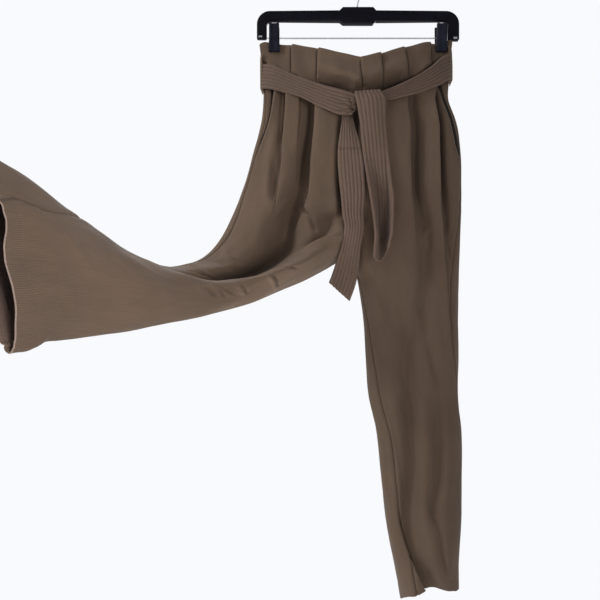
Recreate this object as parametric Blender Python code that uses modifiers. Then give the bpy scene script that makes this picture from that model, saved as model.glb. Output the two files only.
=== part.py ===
"""Paperbag waist trousers clipped to a hanger, their belt tied in front, with one leg swung out.

Millimetres in the tables, metres in the meshes, +Z up. The front faces -Y, and the origin is where
the hanger's hook hangs from its rail. "Right" and "left" are the wearer's, so right is at -X.
The right leg is swung out towards the front and the right; the left leg hangs straight.

Each leg is a tube of two panels. A cross-section runs from an outer edge to an inner edge, swells to
the front and to the back, and is opened down the middle above the crotch, where the two legs meet.
"""

import math

import bmesh
import bpy
import numpy as np

MM = 0.001

# ---------------------------------------------------------------- driving sizes, in millimetres
CLOTH = 1.2  # wall of the trouser panels
BAND_CLOTH = 2.0  # wall of the doubled waistband
BELT_CLOTH = 1.8  # wall of the belt between its ribs
BELT_RIB = 0.7  # how far each stitched channel of the belt stands proud
BELT_CHANNELS = 7
SEAM_GAP = 0.35
HEM_REACH = 880  # from the waist seam down the outseam to the hem
CROTCH_REACH = 280
SLEEVE_ROWS = 19  # rows of each leg's panels below the crotch
TRUNK_ROWS = 12  # rows above it, alike on all four panels
CROTCH_CURVE = 90  # how far above the crotch the centre seams start to curve in
FACING_START = 0.015  # the pocket facing's turn past the outseam
FACING_UNDERLAP = 0.07  # its turn past the pocket mouth
FACING_END = 0.92  # how far down the pocket mouth it runs
FACING_SUNK = 0.4  # how deep inside the panels it lies at the outseam
FACING_DEPTH = 2.6  # and how much deeper it gets under the mouth
FACING_SINKS_BY = 0.625  # how far across it has got that deep
FACING_ROWS, FACING_COLUMNS = 8, 6
POCKET_GAPE = 3  # how far the mouth stands open at the waist
BAND_GAP = 0.6  # between the paperbag band and the trousers' waist edge
PLEAT_STEP = 4  # how wide the steep side of a pleat is
COLUMN_TURN = 0.03  # the least turn between two lines that a front panel's columns follow


def table(columns, *rows):
    """A short table: each named column as an array down its rows."""
    return dict(zip(columns.split(), np.array(rows, float).T))


# The swung leg. out and in are the edges of its section, and face is the heading that its front turns
# to, in degrees from straight ahead. out_seam and in_seam are how far round to the front the seams lie.
# Above the crotch the inner edge is the centre of the trunk, which both legs share.
SWUNG = table(
    "reach out_x out_y out_z  in_x in_y in_z  front back face out_seam in_seam",
    (0,    -164,    0, -198,     4,    0, -232,   32,  24,   0, .12, 0),
    (60,   -167,    0, -262,     3,    0, -290,   38,  26,   0, .14, 0),
    (120,  -183,   -4, -325,     1,   -1, -347,   39,  28,   0, .15, 0),
    (180,  -198,  -10, -380,  -3.2,   -3, -402,   37,  29,   0, .15, 0),
    (235,  -214,  -22, -427,    -9,   -5, -450,   33,  28,   0, .15, 0),
    (280,  -232,  -44, -470,   -13,   -8, -488,   28,  30,   3, .14, 0),
    (340,  -256,  -86, -508,   -50,  -28, -517,   25,  50,  14, .10, 0),
    (400,  -280, -135, -523,   -97,  -64, -543,   25,  60,  20, .05, 0),
    (450,  -292, -175, -528,  -134, -101, -560,   26,  60,  25, .02, 0),
    (500,  -308, -215, -525,  -173, -150, -577,   28,  56,  32,   0, 0),
    (570,  -330, -285, -511,  -222, -223, -593,   30,  48,  42,   0, 0),
    (640,  -346, -345, -491,  -262, -291, -601,   30,  40,  52, .04, 0),
    (710,  -358, -400, -474,  -297, -354, -609,   26,  31,  60, .19, -.03),
    (780,  -366, -460, -456,  -326, -420, -612,   20,  22,  68, .32, -.07),
    (850,  -373, -508, -449,  -343, -480, -617,   15,  15,  75, .36, -.10),
    (880,  -377, -530, -446,  -350, -510, -620,   14,  14,  78, .35, -.12),
)

# The hanging leg.
HANGING = table(
    "reach out_x out_y out_z  in_x in_y in_z  front back face out_seam in_seam",
    (0,     157,    0, -195,     4,    0, -232,   32,  24,   0, .10, 0),
    (30,    157,    0, -226,   3.5,    0, -261,   35,  25,   0, .10, 0),
    (60,    168,    0, -259,     3,    0, -290,   38,  26,   0, .09, 0),
    (120,   178,    0, -321,     1,   -1, -347,   39,  28,   0, .08, 0),
    (180,   179,    0, -382,  -2.8,   -3, -402,   37,  29,   0, .09, 0),
    (235,   178,    0, -437,    -7,   -5, -450,   33,  28,   0, .13, 0),
    (280,   177,    0, -484,    -9,   -8, -488,   28,  28,   0, .16, 0),
    (340,   175,    0, -545,     2,   -1, -546,   33,  30,   0, .21, .06),
    (400,   174,    0, -606,    10,    0, -606,   35,  32,   0, .21, .11),
    (470,   174,    0, -677,    14,    0, -677,   36,  33,   0, .17, .17),
    (530,   173,    0, -738,    19,    0, -738,   36,  33,   0, .08, .21),
    (600,   179,    0, -809,    33,    0, -807,   36,  33,   0,   0, .24),
    (690,   179,    0, -898,    42,    0, -893,   36,  33,   0,   0, .26),
    (770,   178,    0, -976,    51,    0, -970,   36,  32,   0,   0, .27),
    (830,   174,    0, -1036,   64,    0, -1036,   35,  31,   0,   0, .28),
    (880,   174,    0, -1078,   75,    0, -1096,   34,  30,   0,   0, .30),
)

# Folds of the front panels. share is how far across the leg the fold lies, as seen from the front. It
# pushes the cloth forward and up, over its width. A pleat has one steep side, towards the outer edge
# (1) or the inner edge (-1); a soft fold has none (0).
FOLD = "reach share width forward up"
SWUNG_FOLDS = {
    "outer pleat": (1, table(
        FOLD, (0, .225, 14, 7, 0), (70, .235, 15, 6, 0), (140, .27, 18, 3, 0), (200, .30, 20, 0, 0))),
    "middle pleat": (-1, table(
        FOLD, (0, .36, 14, 5, 0), (60, .365, 15, 5, 0), (120, .38, 16, 2, 0), (170, .38, 18, 0, 0))),
    "inner pleat": (1, table(
        FOLD, (0, .535, 20, 8, 0), (110, .525, 26, 8, 0), (190, .51, 30, 5, 0), (260, .50, 34, 0, 0))),
    "hip crease": (0, table(
        FOLD, (0, .48, 9, -3, 0), (110, .475, 12, -10, 0), (190, .45, 17, -22, 0), (255, .46, 23, -42, -4),
        (310, .50, 30, -52, -10), (380, .52, 32, -56, -12), (430, .47, 32, -40, -10), (480, .38, 30, -18, -5),
        (540, .28, 26, 0, 0))),
    "thigh ridge": (0, table(
        FOLD, (180, .92, 40, 0, 0), (230, .90, 40, 15, 4), (300, .84, 40, 32, 15), (400, .81, 38, 28, 18),
        (450, .78, 38, 17, 17), (500, .69, 38, 8, 11), (540, .54, 40, 4, 8), (600, .36, 40, 0, 0))),
    "hem wave": (0, table(
        FOLD, (700, .70, 30, 0, 0), (880, .72, 26, 3, 0))),
}
HANGING_FOLDS = {
    "outer pleat": (1, table(
        FOLD, (0, .19, 12, 5, 0), (60, .20, 13, 8, 0), (150, .185, 14, 8, 0), (260, .14, 16, 0, 0))),
    "pleat hollow": (0, table(
        FOLD, (0, .33, 12, -3, 0), (60, .31, 15, -8, 0), (170, .29, 18, -9, 0), (330, .30, 24, -5, 0),
        (460, .33, 28, 0, 0))),
    "inner pleat": (1, table(
        FOLD, (0, .49, 20, 6, 0), (60, .495, 22, 6, 0), (130, .49, 26, 4, 0), (240, .46, 30, 0, 0))),
    "long trough": (0, table(
        FOLD, (300, .52, 26, 0, 0), (420, .49, 26, -6, 0), (600, .52, 24, -8, 0), (700, .60, 22, -8, 0),
        (800, .66, 18, -5, 0), (840, .62, 16, 0, 0))),
    "second trough": (0, table(
        FOLD, (330, .36, 20, 0, 0), (480, .30, 20, -4, 0), (640, .24, 18, -5, 0), (800, .30, 16, -6, 0),
        (880, .28, 16, -2, 0))),
    "hem strip": (1, table(
        FOLD, (730, .87, 26, 0, 0), (800, .80, 24, 8, 4), (850, .70, 26, 15, 13), (880, .65, 28, 18, 20))),
    "hem hollow": (0, table(
        FOLD, (730, .75, 18, 0, 0), (800, .68, 20, -8, 3), (850, .53, 22, -15, 8), (880, .47, 26, -20, 15))),
}
# How many columns of a front panel lie before each pleat's step, across it, and after the last one.
SWUNG_COLUMNS = (2, 1, 3, 1, 4, 1, 8)
HANGING_COLUMNS = (2, 1, 6, 1, 9)
BACK_COLUMNS = 12

# The pocket mouths: how far round the front each starts at the waist, and how far down it ends.
SWUNG_POCKET = (.19, 125)
HANGING_POCKET = (.265, 118)

# The paperbag band stands above the waist seam. Its top edge, from each side seam to the centre front:
# share is how far along the band, and the clips hold it flat near its ends.
BAND_TOP_RIGHT = table(
    "share    x      y     z",
    (0,    -172,  -0.2, -127),
    (.05,  -165,  -0.5, -124),
    (.13,  -151,  -0.5, -126),
    (.21,  -137,  -0.6, -128),
    (.34,  -115,    -8, -133),
    (.59,   -70,   -18, -143),
    (.80,   -33,   -25, -152.5),
    (1,       2,   -28, -161),
)
BAND_TOP_LEFT = table(
    "share    x      y     z",
    (0,     164,  -0.2, -123),
    (.03,   161,    -3, -120),
    (.06,   157,  -0.5, -121),
    (.13,   145,  -0.4, -125),
    (.18,   136,  -0.6, -127),
    (.29,   120,    -8, -129),
    (.55,    73,   -20, -143),
    (.80,    33,   -26, -155),
    (1,       2,   -28, -161),
)
BAND_TOP_BACK = table(
    "share    x      y     z",
    (0,    -172,   0.2, -127),
    (.04,  -160,   0.5, -125),
    (.10,  -137,   0.6, -128),
    (.25,   -90,    12, -134),
    (.50,     0,    22, -142),
    (.75,    88,    12, -134),
    (.90,   136,   0.6, -127),
    (.96,   154,   0.5, -121),
    (1,     164,   0.2, -123),
)

# Steps pressed into the band: share is how far along the band each stands, from the side seam.
BAND_STEPS_RIGHT = (.36, .61)
BAND_STEPS_LEFT = (.24, .50, .74)
BAND_STEPS_BACK = (.24, .36, .62, .76)
BAND_STEP = 3.2  # how far a step's upper side stands off
BAND_STEP_REACH = 20  # how far along the band it takes to settle back
BAND_ROWS = 7
BAND_DRAWN_BY = 0.35  # how far down the band is gathered to its waist width
BAND_UPRIGHT_TO = 0.2  # and how far down it keeps the depth of its top edge

# The belt's stretches round the waist: turn is the angle round from the side, in degrees, top and
# bottom are its edges' heights, and upper and lower are how far they stand forward at the centre.
BELT_RIGHT = table(
    "turn  top bottom upper lower",
    (0,  -162, -204,   34,   49),
    (32, -175, -218,   39,   49),
    (52, -199, -234,   44,   49),
    (68, -215, -255,   45,   48),
    (80, -225, -266,   45,   46),
    (84, -228, -264,   45,   46),
)
BELT_LEFT = table(
    "turn  top bottom upper lower",
    (0,  -146, -190,   32,   48),
    (18, -150, -196,   34,   48),
    (32, -162, -208,   38,   48),
    (38, -172, -213,   41,   48),
    (60, -204, -231,   44,   46),
    (77, -224, -242,   44,   45),
    (83, -230, -246,   44,   45),
)
BELT_BACK = table(
    "turn  top bottom upper lower",
    (-180, -146, -190,  30,   34),
    (-150, -156, -203,  31,   34),
    (-90,  -178, -224,  31,   34),
    (-30,  -172, -216,  31,   34),
    (0,    -162, -204,  30,   34),
)
BELT_CENTRE = 4  # x of the belt's middle
BELT_HALF_RIGHT = 170.7  # from there to its inner face at each side
BELT_HALF_LEFT = 156.6

# The belt's two tails hang from the knot. a and b are the edges of a tail at each row, as worn, from
# the right to the left; bow is how far its middle stands out of them.
SHORT_TAIL = table(
    "a_x  a_y  a_z  b_x  b_y  b_z  bow",
    (-26, -38, -256, -14, -38, -256, 0),
    (-30, -42, -270, -13, -42, -270, 1),
    (-33, -48, -287,  -5, -48, -287, 3),
    (-38, -51, -321,   2, -51, -321, 3),
    (-38, -52, -354,   5, -52, -354, 2),
    (-34, -54, -399,   6, -54, -399, 2),
    (-31, -57, -433,   3, -57, -433, 3),
    (-28, -60, -456,   3, -58, -456, 4),
    (-34, -59, -487,  -2, -57, -487, 4),
    (-41, -56, -510,  -4, -55, -513, 3),
    (-48, -53, -532,  -9, -52, -546, 3),
    (-53, -51, -545, -19, -50, -576, 2),
)
LONG_TAIL = table(
    "a_x  a_y  a_z  b_x  b_y  b_z  bow",
    (-7,  -51, -240,  33, -51, -240, 0),
    (-10, -52, -231,  32, -52, -230, 0),
    (-11, -56, -228,  32, -56, -227, 0),
    (-11, -59, -234,  33, -59, -233, 1),
    (-9,  -60, -245,  39, -60, -245, 3),
    (-3,  -58, -278,  40, -57, -278, 3),
    (2,   -55, -326,  45, -54, -326, 1),
    (8,   -54, -367,  49, -53, -367, -4),
    (14,  -56, -409,  53, -54, -409, -8),
    (20,  -60, -459,  51, -58, -459, -12),
    (21,  -62, -484,  47, -60, -484, -12),
    (16,  -62, -506,  45, -61, -497, -8),
)
KNOT = (7, -44.3, -247)  # the middle of the knot, behind the long tail's fold
KNOT_SIZE = (28, 6, 26)

LOOP_WIDTH = 8
LOOP_CLOTH = 1.5
# The belt loops at the side seams: x and z of each from top to bottom.
LOOP_RIGHT = ((-169.9, -147), (-170.6, -156), (-170.6, -180), (-170.4, -205), (-167, -214))
LOOP_LEFT = ((162.6, -134), (163.6, -143), (164.6, -165), (164.6, -190), (160.6, -199))

# ---------------------------------------------------------------- the hanger
HOOK_WIRE = 3
HOOK_RADIUS = 21.5  # to the middle of the wire
HOOK_ARC = (-48, 210)  # where its arc starts and ends, in degrees round from +X
SHANK = ((-1.2, -61.7), (-0.6, -56), (1.4, -49.5), (5.4, -43.4), (9.9, -39))  # x and z, up to the arc
BAR_HALF = 177  # from the middle to the outside of each arm
BAR_TOP = -69
BAR_HEIGHT = 19
BAR_DEPTH = 9
ARM_WIDTH = 17.5
ARM_BOTTOM = -120
ARM_OUTER_RADIUS = 23
ARM_INNER_RADIUS = 9
PLATE = (70, 14, 31.5)
PLATE_TOP = -62
EDGE_ROUND = 1.5
WIRE = 2.6
WIRE_HEIGHT = -116.8
CLIPS = {"right": -146.4, "left": 145.0}  # x of each clip's middle
CLIP_WIDTH = 18
CLIP_TOP = -89.5
CLIP_BOTTOM = -141.5
JAW = 4.5  # how thick a jaw is
JAW_SPREAD = 7.5  # from the middle to the inside of a jaw at its top
JAW_GRIP = 3.2  # and at its foot, where it holds the cloth
SPRING_OUTER = 3.0
SPRING_INSET = 3  # how far each end of a spring lies inside its clip's sides

CLOTH_BROWN = (.115, .078, .058)
POCKET_BROWN = (.07, .048, .036)
HANGER_BLACK = (.012, .013, .017)
CHROME = (.75, .75, .74)


# ---------------------------------------------------------------- smooth numbers
def smooth(t):
    t = np.clip(t, 0, 1)
    return t * t * (3 - 2 * t)


def along(knots, values, at):
    """A smooth curve through the values at the knots, read at other places."""
    at = np.clip(at, knots[0], knots[-1])
    slope = np.gradient(values, knots)
    i = np.clip(np.searchsorted(knots, at, side="right") - 1, 0, len(knots) - 2)
    width = knots[i + 1] - knots[i]
    t = (at - knots[i]) / width
    start, end = values[i], values[i + 1]
    return (
        start
        + (3 * t**2 - 2 * t**3) * (end - start)
        + (t**3 - 2 * t**2 + t) * width * slope[i]
        + (t**3 - t**2) * width * slope[i + 1]
    )


def read(source, columns, at):
    """The named columns of a table at these places along its first column, side by side."""
    knots = next(iter(source.values()))
    found = [along(knots, source[column], np.asarray(at, float)) for column in columns.split()]
    return np.stack(found, -1) if len(found) > 1 else found[0]


# ---------------------------------------------------------------- the surface of a leg
def closing(reach):
    """0 where the section is half of the trunk, 1 where it is a leg's whole tube."""
    return smooth((reach - (CROTCH_REACH - CROTCH_CURVE)) / CROTCH_CURVE)


def section_share(turn, closed):
    """How far across the leg a turn lies, as seen from the front."""
    angle = np.pi * turn
    return (1 - closed) * (1 - np.cos(angle / 2)) + closed * (1 - np.cos(angle)) / 2


def turn_at(share, closed):
    """The turn round the front that lies this far across the leg, found by halving."""
    low, high = np.zeros_like(share), np.ones_like(share)
    for _ in range(30):
        middle = (low + high) / 2
        below = section_share(middle, closed) < share
        low, high = np.where(below, middle, low), np.where(below, high, middle)
    return (low + high) / 2


def fold_push(steep, distance, step):
    """A fold's height at a distance from its line, in its own widths; step is its steep side's."""
    if steep == 0:
        return np.exp(-distance**2)
    gentle = np.exp(-np.maximum(distance * steep, 0) ** 1.5)
    return np.where(distance * steep > 0, gentle, 1 - smooth(-distance * steep / step))


def leg_points(leg, folds, reach, turn):
    """Points of a leg's surface: turn is 0 at the outer edge, 1 at the inner edge round the front,
    and -1 there round the back."""
    reach, turn = np.broadcast_arrays(np.asarray(reach, float), np.asarray(turn, float))
    outer, inner = read(leg, "out_x out_y out_z", reach), read(leg, "in_x in_y in_z", reach)
    face = np.radians(read(leg, "face", reach)) * np.sign(-leg["out_x"][0])
    ahead = np.stack([np.sin(face), -np.cos(face), np.zeros_like(face)], -1)
    closed = closing(reach)
    share = section_share(turn, closed)
    swell = (1 - closed) * np.sin(np.pi * turn / 2) + closed * np.sin(np.pi * turn)
    depth = np.where(swell > 0, read(leg, "front", reach), read(leg, "back", reach)) * swell
    points = outer + (inner - outer) * share[..., None] + ahead * depth[..., None]

    width = np.linalg.norm(inner - outer, axis=-1)
    front_turn = np.where(turn < -1, turn + 2, turn)
    on_front = smooth(front_turn / 0.12) * (1 - closed * smooth((front_turn - 0.88) / 0.12))
    for steep, fold in folds.values():
        lives = (reach >= fold["reach"][0]) & (reach <= fold["reach"][-1])
        span = read(fold, "width", reach)
        distance = (share - read(fold, "share", reach)) * width / span
        push = fold_push(steep, distance, PLEAT_STEP / span) * on_front * lives
        points = points + ahead * (push * read(fold, "forward", reach))[..., None]
        points[..., 2] += push * read(fold, "up", reach)
    return points


def outer_seam(leg, reach):
    return read(leg, "out_seam", reach)


def inner_seam(leg, reach):
    return 1 - read(leg, "in_seam", reach)


def pocket_cut(pocket, reach):
    """How far round the front a slanted pocket mouth lies past the outseam."""
    set_in, end = pocket
    return set_in * (1 - np.clip(reach / end, 0, 1))


def panel_reaches():
    """The rows of every panel: the trunk's are alike on all four, so that their seams meet."""
    trunk = np.linspace(0, CROTCH_REACH, TRUNK_ROWS)
    sleeve = np.linspace(CROTCH_REACH, HEM_REACH, SLEEVE_ROWS + 1)
    return np.concatenate([trunk, sleeve[1:]])


def drawn_in(points, gap):
    """A grid with its first and last columns drawn in by a gap."""
    points = points.copy()
    for edge, beside in ((0, 1), (-1, -2)):
        inward = points[:, beside] - points[:, edge]
        inward /= np.maximum(np.linalg.norm(inward, axis=-1, keepdims=True), 1e-9)
        points[:, edge] += inward * gap
    return points


def moved_out(points, distance):
    """A grid moved along its own normals, which point out of a grid that runs down and rightwards."""
    down = np.gradient(points, axis=0)
    across = np.gradient(points, axis=1)
    normal = np.cross(down, across)
    normal /= np.maximum(np.linalg.norm(normal, axis=-1, keepdims=True), 1e-9)
    return points + normal * np.asarray(distance)[..., None]


def front_points(leg, folds, pocket, columns):
    """A front panel's grid: rows down the leg, and columns from the outseam to the inner seam."""
    reach = panel_reaches()
    closed = closing(reach)
    edges = read(leg, "out_x out_y out_z", reach) - read(leg, "in_x in_y in_z", reach)
    step = PLEAT_STEP / np.linalg.norm(edges, axis=-1)
    start = outer_seam(leg, reach) + pocket_cut(pocket, reach)
    lines = []
    for steep, fold in folds.values():
        if steep and fold["reach"][0] == 0:
            line = read(fold, "share", reach)
            lines += [turn_at(line, closed), turn_at(line - steep * step, closed)]
    lines = np.sort(np.stack(lines, -1), axis=-1)
    lines = np.maximum(lines, start[:, None] + COLUMN_TURN * np.arange(1, lines.shape[1] + 1))
    knots = np.column_stack([start, lines, inner_seam(leg, reach)])
    stations = np.concatenate([[0], np.cumsum(columns)])
    turns = np.stack([np.interp(np.arange(stations[-1] + 1), stations, row) for row in knots])
    return leg_points(leg, folds, reach[:, None], turns)


def back_points(leg, folds):
    """A back panel's grid: rows down the leg, and columns from the outseam to the inner seam."""
    reach = panel_reaches()[:, None]
    start, end = outer_seam(leg, reach), inner_seam(leg, reach) - 2
    turns = start + (end - start) * np.linspace(0, 1, BACK_COLUMNS + 1)
    return leg_points(leg, folds, reach, turns)


def facing_points(leg, pocket, out_sign):
    """The pocket's facing: it fills the slant from the outseam, and runs on under the front's edge."""
    set_in, end = pocket
    reach = np.linspace(0, end * FACING_END, FACING_ROWS)[:, None]
    across = np.linspace(0, 1, FACING_COLUMNS)[None, :]
    cut = pocket_cut(pocket, reach)
    turn = outer_seam(leg, reach) + FACING_START + (cut + FACING_UNDERLAP) * across
    points = leg_points(leg, {}, reach, turn)
    sunk = FACING_SUNK + (FACING_DEPTH + POCKET_GAPE * cut / set_in) * smooth(across / FACING_SINKS_BY)
    return moved_out(points, -out_sign * sunk)


# ---------------------------------------------------------------- the band and the belt
def band_points(top, leg, steps, count):
    """The paperbag band's grid: rows from the top edge to the waist seam, columns from the side."""
    width = np.ptp(top["x"])
    knots = np.sort([0, 1, *steps, *(line - PLEAT_STEP / width for line in steps)])
    columns = [max(1, round(count * gap)) for gap in np.diff(knots)]
    stations = np.concatenate([[0], np.cumsum(columns)])
    share = np.interp(np.arange(stations[-1] + 1), stations, knots)[None, :]
    drop = np.linspace(0, 1, BAND_ROWS)[:, None]
    upper = read(top, "x y z", share + 0 * drop)
    if leg is None:
        lower = trunk_back(share + 0 * drop)
    else:
        lower = np.broadcast_to(leg_points(leg, {}, 0, turn_at(share, 0)), upper.shape)
    lower = lower + np.array([0, 0, BAND_GAP])
    gathered = smooth(drop / BAND_DRAWN_BY)
    deepened = smooth((drop - BAND_UPRIGHT_TO) / (1 - BAND_UPRIGHT_TO))
    points = upper + (lower - upper) * np.stack([gathered, deepened, drop], -1)
    push = 0
    for line in steps:
        beyond = (share - line) * width
        settled = np.exp(-((beyond / BAND_STEP_REACH) ** 2))
        push = push + np.where(beyond > 0, settled, 1 - smooth(-beyond / PLEAT_STEP))
    facing = -1 if leg is not None else 1
    points[..., 1] += facing * BAND_STEP * push
    return points


def trunk_back(share):
    """The waist seam round the back: share runs from the right side to the left side."""
    right = back_half(SWUNG, np.clip(share * 2, 0, 1))
    left = back_half(HANGING, np.clip(2 - share * 2, 0, 1))
    return np.where((share < 0.5)[..., None], right, left)


def back_half(leg, share):
    return leg_points(leg, {}, 0, -turn_at(share, 0))


def belt_edges(stretch, degrees, mirror):
    """The belt's two edges at these angles round the waist: mirror is -1 for angles from the left."""
    angle = np.radians(degrees)
    half = np.where(np.cos(angle) * mirror > 0, BELT_HALF_RIGHT, BELT_HALF_LEFT)
    x = BELT_CENTRE - half * np.cos(angle) * mirror
    upper, lower = read(stretch, "upper", degrees), read(stretch, "lower", degrees)
    top = np.stack([x, -upper * np.sin(angle), read(stretch, "top", degrees)], -1)
    bottom = np.stack([x, -lower * np.sin(angle), read(stretch, "bottom", degrees)], -1)
    return top, bottom


# ---------------------------------------------------------------- objects
def finish(name, colour, roughness, metallic=0.0):
    """A material of one plain colour."""
    made = bpy.data.materials.new(name)
    made.use_nodes = True
    shader = made.node_tree.nodes["Principled BSDF"]
    shader.inputs["Base Color"].default_value = (*colour, 1)
    shader.inputs["Roughness"].default_value = roughness
    shader.inputs["Metallic"].default_value = metallic
    return made


def placed(parts, name, data, look):
    """A new object of this data in the part's collection, with its own material."""
    piece = bpy.data.objects.new(name, data)
    data.materials.clear()
    data.materials.append(finish(name, *look))
    parts.objects.link(piece)
    return piece


def cloth_wall(parts, name, points, look, thickness, side):
    """A wall of cloth on a grid of points, thickened to one side: 1 is where moved_out moves."""
    rows, columns = points.shape[:2]
    grid = bmesh.new()
    bmesh.ops.create_grid(grid, x_segments=columns - 1, y_segments=rows - 1, size=1)
    for vertex, point in zip(grid.verts, points.reshape(-1, 3)):
        vertex.co = point * MM
    mesh = bpy.data.meshes.new(name)
    grid.to_mesh(mesh)
    grid.free()
    mesh.shade_smooth()
    piece = placed(parts, name, mesh, look)
    wall = piece.modifiers.new("Wall", "SOLIDIFY")
    wall.thickness = thickness * MM
    wall.offset = -side
    return piece


def belt_strip(parts, name, edge_a, edge_b, bow, outward, look):
    """A stretch of the belt between two edges: stitched channels stand proud of its outer face, and
    its inner face is plain. bow lifts the middle of each row off the line between the edges."""
    run = np.gradient((edge_a + edge_b) / 2, axis=0)
    out = np.cross(run, edge_b - edge_a) * outward
    out = (out / np.linalg.norm(out, axis=-1, keepdims=True))[:, None]
    bow = np.broadcast_to(np.asarray(bow, float), len(edge_a))[:, None, None]

    def across(share):
        share = share[None, :, None]
        flat = edge_a[:, None] + (edge_b - edge_a)[:, None] * share
        return flat + out * bow * 4 * share * (1 - share)

    outer = np.linspace(0, 1, 2 * BELT_CHANNELS + 1)
    inner = np.linspace(1, 0, BELT_CHANNELS + 1)
    proud = BELT_CLOTH + BELT_RIB * np.abs(np.sin(np.pi * BELT_CHANNELS * outer))
    ring = np.concatenate([across(outer) + out * proud[None, :, None], across(inner)], axis=1)

    rows, count = ring.shape[:2]
    tube = bmesh.new()
    rings = [[tube.verts.new(point * MM) for point in row] for row in ring]
    for upper, lower in zip(rings, rings[1:]):
        for i in range(count):
            j = (i + 1) % count
            tube.faces.new((upper[i], upper[j], lower[j], lower[i]))
    tube.faces.new(rings[0][::-1])
    tube.faces.new(rings[-1])
    bmesh.ops.recalc_face_normals(tube, faces=tube.faces)
    mesh = bpy.data.meshes.new(name)
    tube.to_mesh(mesh)
    tube.free()
    mesh.shade_smooth()
    mesh.set_sharp_from_angle(angle=math.radians(50))
    return placed(parts, name, mesh, look)


def wire_curve(parts, name, route, diameter, look):
    """A round wire along a route of points."""
    curve = bpy.data.curves.new(name, "CURVE")
    curve.dimensions = "3D"
    curve.bevel_depth = diameter / 2 * MM
    curve.bevel_resolution = 2
    curve.use_fill_caps = True
    spline = curve.splines.new("POLY")
    spline.points.add(len(route) - 1)
    for point, place in zip(spline.points, route):
        point.co = (*(np.array(place) * MM), 1)
    return placed(parts, name, curve, look)


def rounded_box(parts, name, size, centre, tilt, look):
    """A box with rounded edges, tilted about the X axis."""
    bpy.ops.mesh.primitive_cube_add(size=1)
    made = bpy.context.object
    mesh = made.data
    bpy.data.objects.remove(made)
    for vertex in mesh.vertices:
        vertex.co = [c * s * MM for c, s in zip(vertex.co, size)]
    piece = placed(parts, name, mesh, look)
    piece.location = [c * MM for c in centre]
    piece.rotation_euler.x = tilt
    edges = piece.modifiers.new("Edges", "BEVEL")
    edges.width = EDGE_ROUND * MM
    edges.segments = 2
    return piece


# ---------------------------------------------------------------- the pieces
CLOTH_LOOK = (CLOTH_BROWN, 0.85)
FACING_LOOK = (POCKET_BROWN, 0.9)
PLASTIC_LOOK = (HANGER_BLACK, 0.35)
STEEL_LOOK = (CHROME, 0.25, 1.0)


def make_legs(parts):
    legs = (
        ("swung", SWUNG, SWUNG_FOLDS, SWUNG_POCKET, SWUNG_COLUMNS, 1),
        ("hanging", HANGING, HANGING_FOLDS, HANGING_POCKET, HANGING_COLUMNS, -1),
    )
    for leg_name, leg, folds, pocket, columns, out_sign in legs:
        sides = (
            ("front", front_points(leg, folds, pocket, columns)),
            ("back", back_points(leg, folds)),
        )
        for side, points in sides:
            points = drawn_in(points, SEAM_GAP / 2)
            outward = out_sign if side == "front" else -out_sign
            cloth_wall(parts, f"{side}_panel_{leg_name}_leg", points, CLOTH_LOOK, CLOTH, outward)
        points = facing_points(leg, pocket, out_sign)
        cloth_wall(parts, f"pocket_facing_{leg_name}_leg", points, FACING_LOOK, CLOTH, -out_sign)


def make_band(parts):
    pieces = (
        ("right", BAND_TOP_RIGHT, SWUNG, BAND_STEPS_RIGHT, 15, 1),
        ("left", BAND_TOP_LEFT, HANGING, BAND_STEPS_LEFT, 15, -1),
        ("back", BAND_TOP_BACK, None, BAND_STEPS_BACK, 24, -1),
    )
    for side, top, leg, steps, count, outward in pieces:
        points = drawn_in(band_points(top, leg, steps, count), SEAM_GAP / 2)
        cloth_wall(parts, f"waist_band_{side}", points, CLOTH_LOOK, BAND_CLOTH, outward)


def make_belt(parts):
    for side, stretch, rows, mirror in (
        ("right", BELT_RIGHT, 12, 1), ("left", BELT_LEFT, 12, -1), ("back", BELT_BACK, 17, 1)
    ):
        degrees = np.linspace(stretch["turn"][0], stretch["turn"][-1], rows)
        top, bottom = drawn_in(np.stack(belt_edges(stretch, degrees, mirror)), SEAM_GAP / 2)
        belt_strip(parts, f"belt_{side}", top, bottom, 0, -mirror, CLOTH_LOOK)

    for name, tail in (("belt_short_tail", SHORT_TAIL), ("belt_long_tail", LONG_TAIL)):
        rows = np.arange(len(tail["bow"]))
        at = np.linspace(0, rows[-1], 2 * len(rows) - 1)
        numbered = {"row": rows, **tail}
        edge_a, edge_b = read(numbered, "a_x a_y a_z", at), read(numbered, "b_x b_y b_z", at)
        belt_strip(parts, name, edge_a, edge_b, read(numbered, "bow", at), 1, CLOTH_LOOK)

    bpy.ops.mesh.primitive_uv_sphere_add(segments=14, ring_count=8, radius=0.5 * MM)
    made = bpy.context.object
    mesh = made.data
    bpy.data.objects.remove(made)
    for vertex in mesh.vertices:
        vertex.co = [c * s for c, s in zip(vertex.co, KNOT_SIZE)]
    mesh.shade_smooth()
    knot = placed(parts, "belt_knot", mesh, CLOTH_LOOK)
    knot.location = [c * MM for c in KNOT]

    for side, route in (("right", LOOP_RIGHT), ("left", LOOP_LEFT)):
        middle = np.array([(x, 0, z) for x, z in route])
        half = np.array([0, LOOP_WIDTH / 2, 0])
        loop = np.stack([middle - half, middle + half], axis=1)
        cloth_wall(parts, f"belt_loop_{side}", loop, CLOTH_LOOK, LOOP_CLOTH, 0)


def bar_outline():
    """The bar and its two arms, from the front: an upturned U with round corners."""
    halves = []
    for radius, side, top in (
        (ARM_OUTER_RADIUS, BAR_HALF, BAR_TOP),
        (ARM_INNER_RADIUS, BAR_HALF - ARM_WIDTH, BAR_TOP - BAR_HEIGHT),
    ):
        corner = [
            (side - radius + radius * math.cos(a), top - radius + radius * math.sin(a))
            for a in np.linspace(0, math.pi / 2, 7)
        ]
        right = [(side, ARM_BOTTOM), *corner]
        halves.append(right + [(-x, z) for x, z in right[::-1]])
    return halves[0] + halves[1][::-1]


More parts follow.
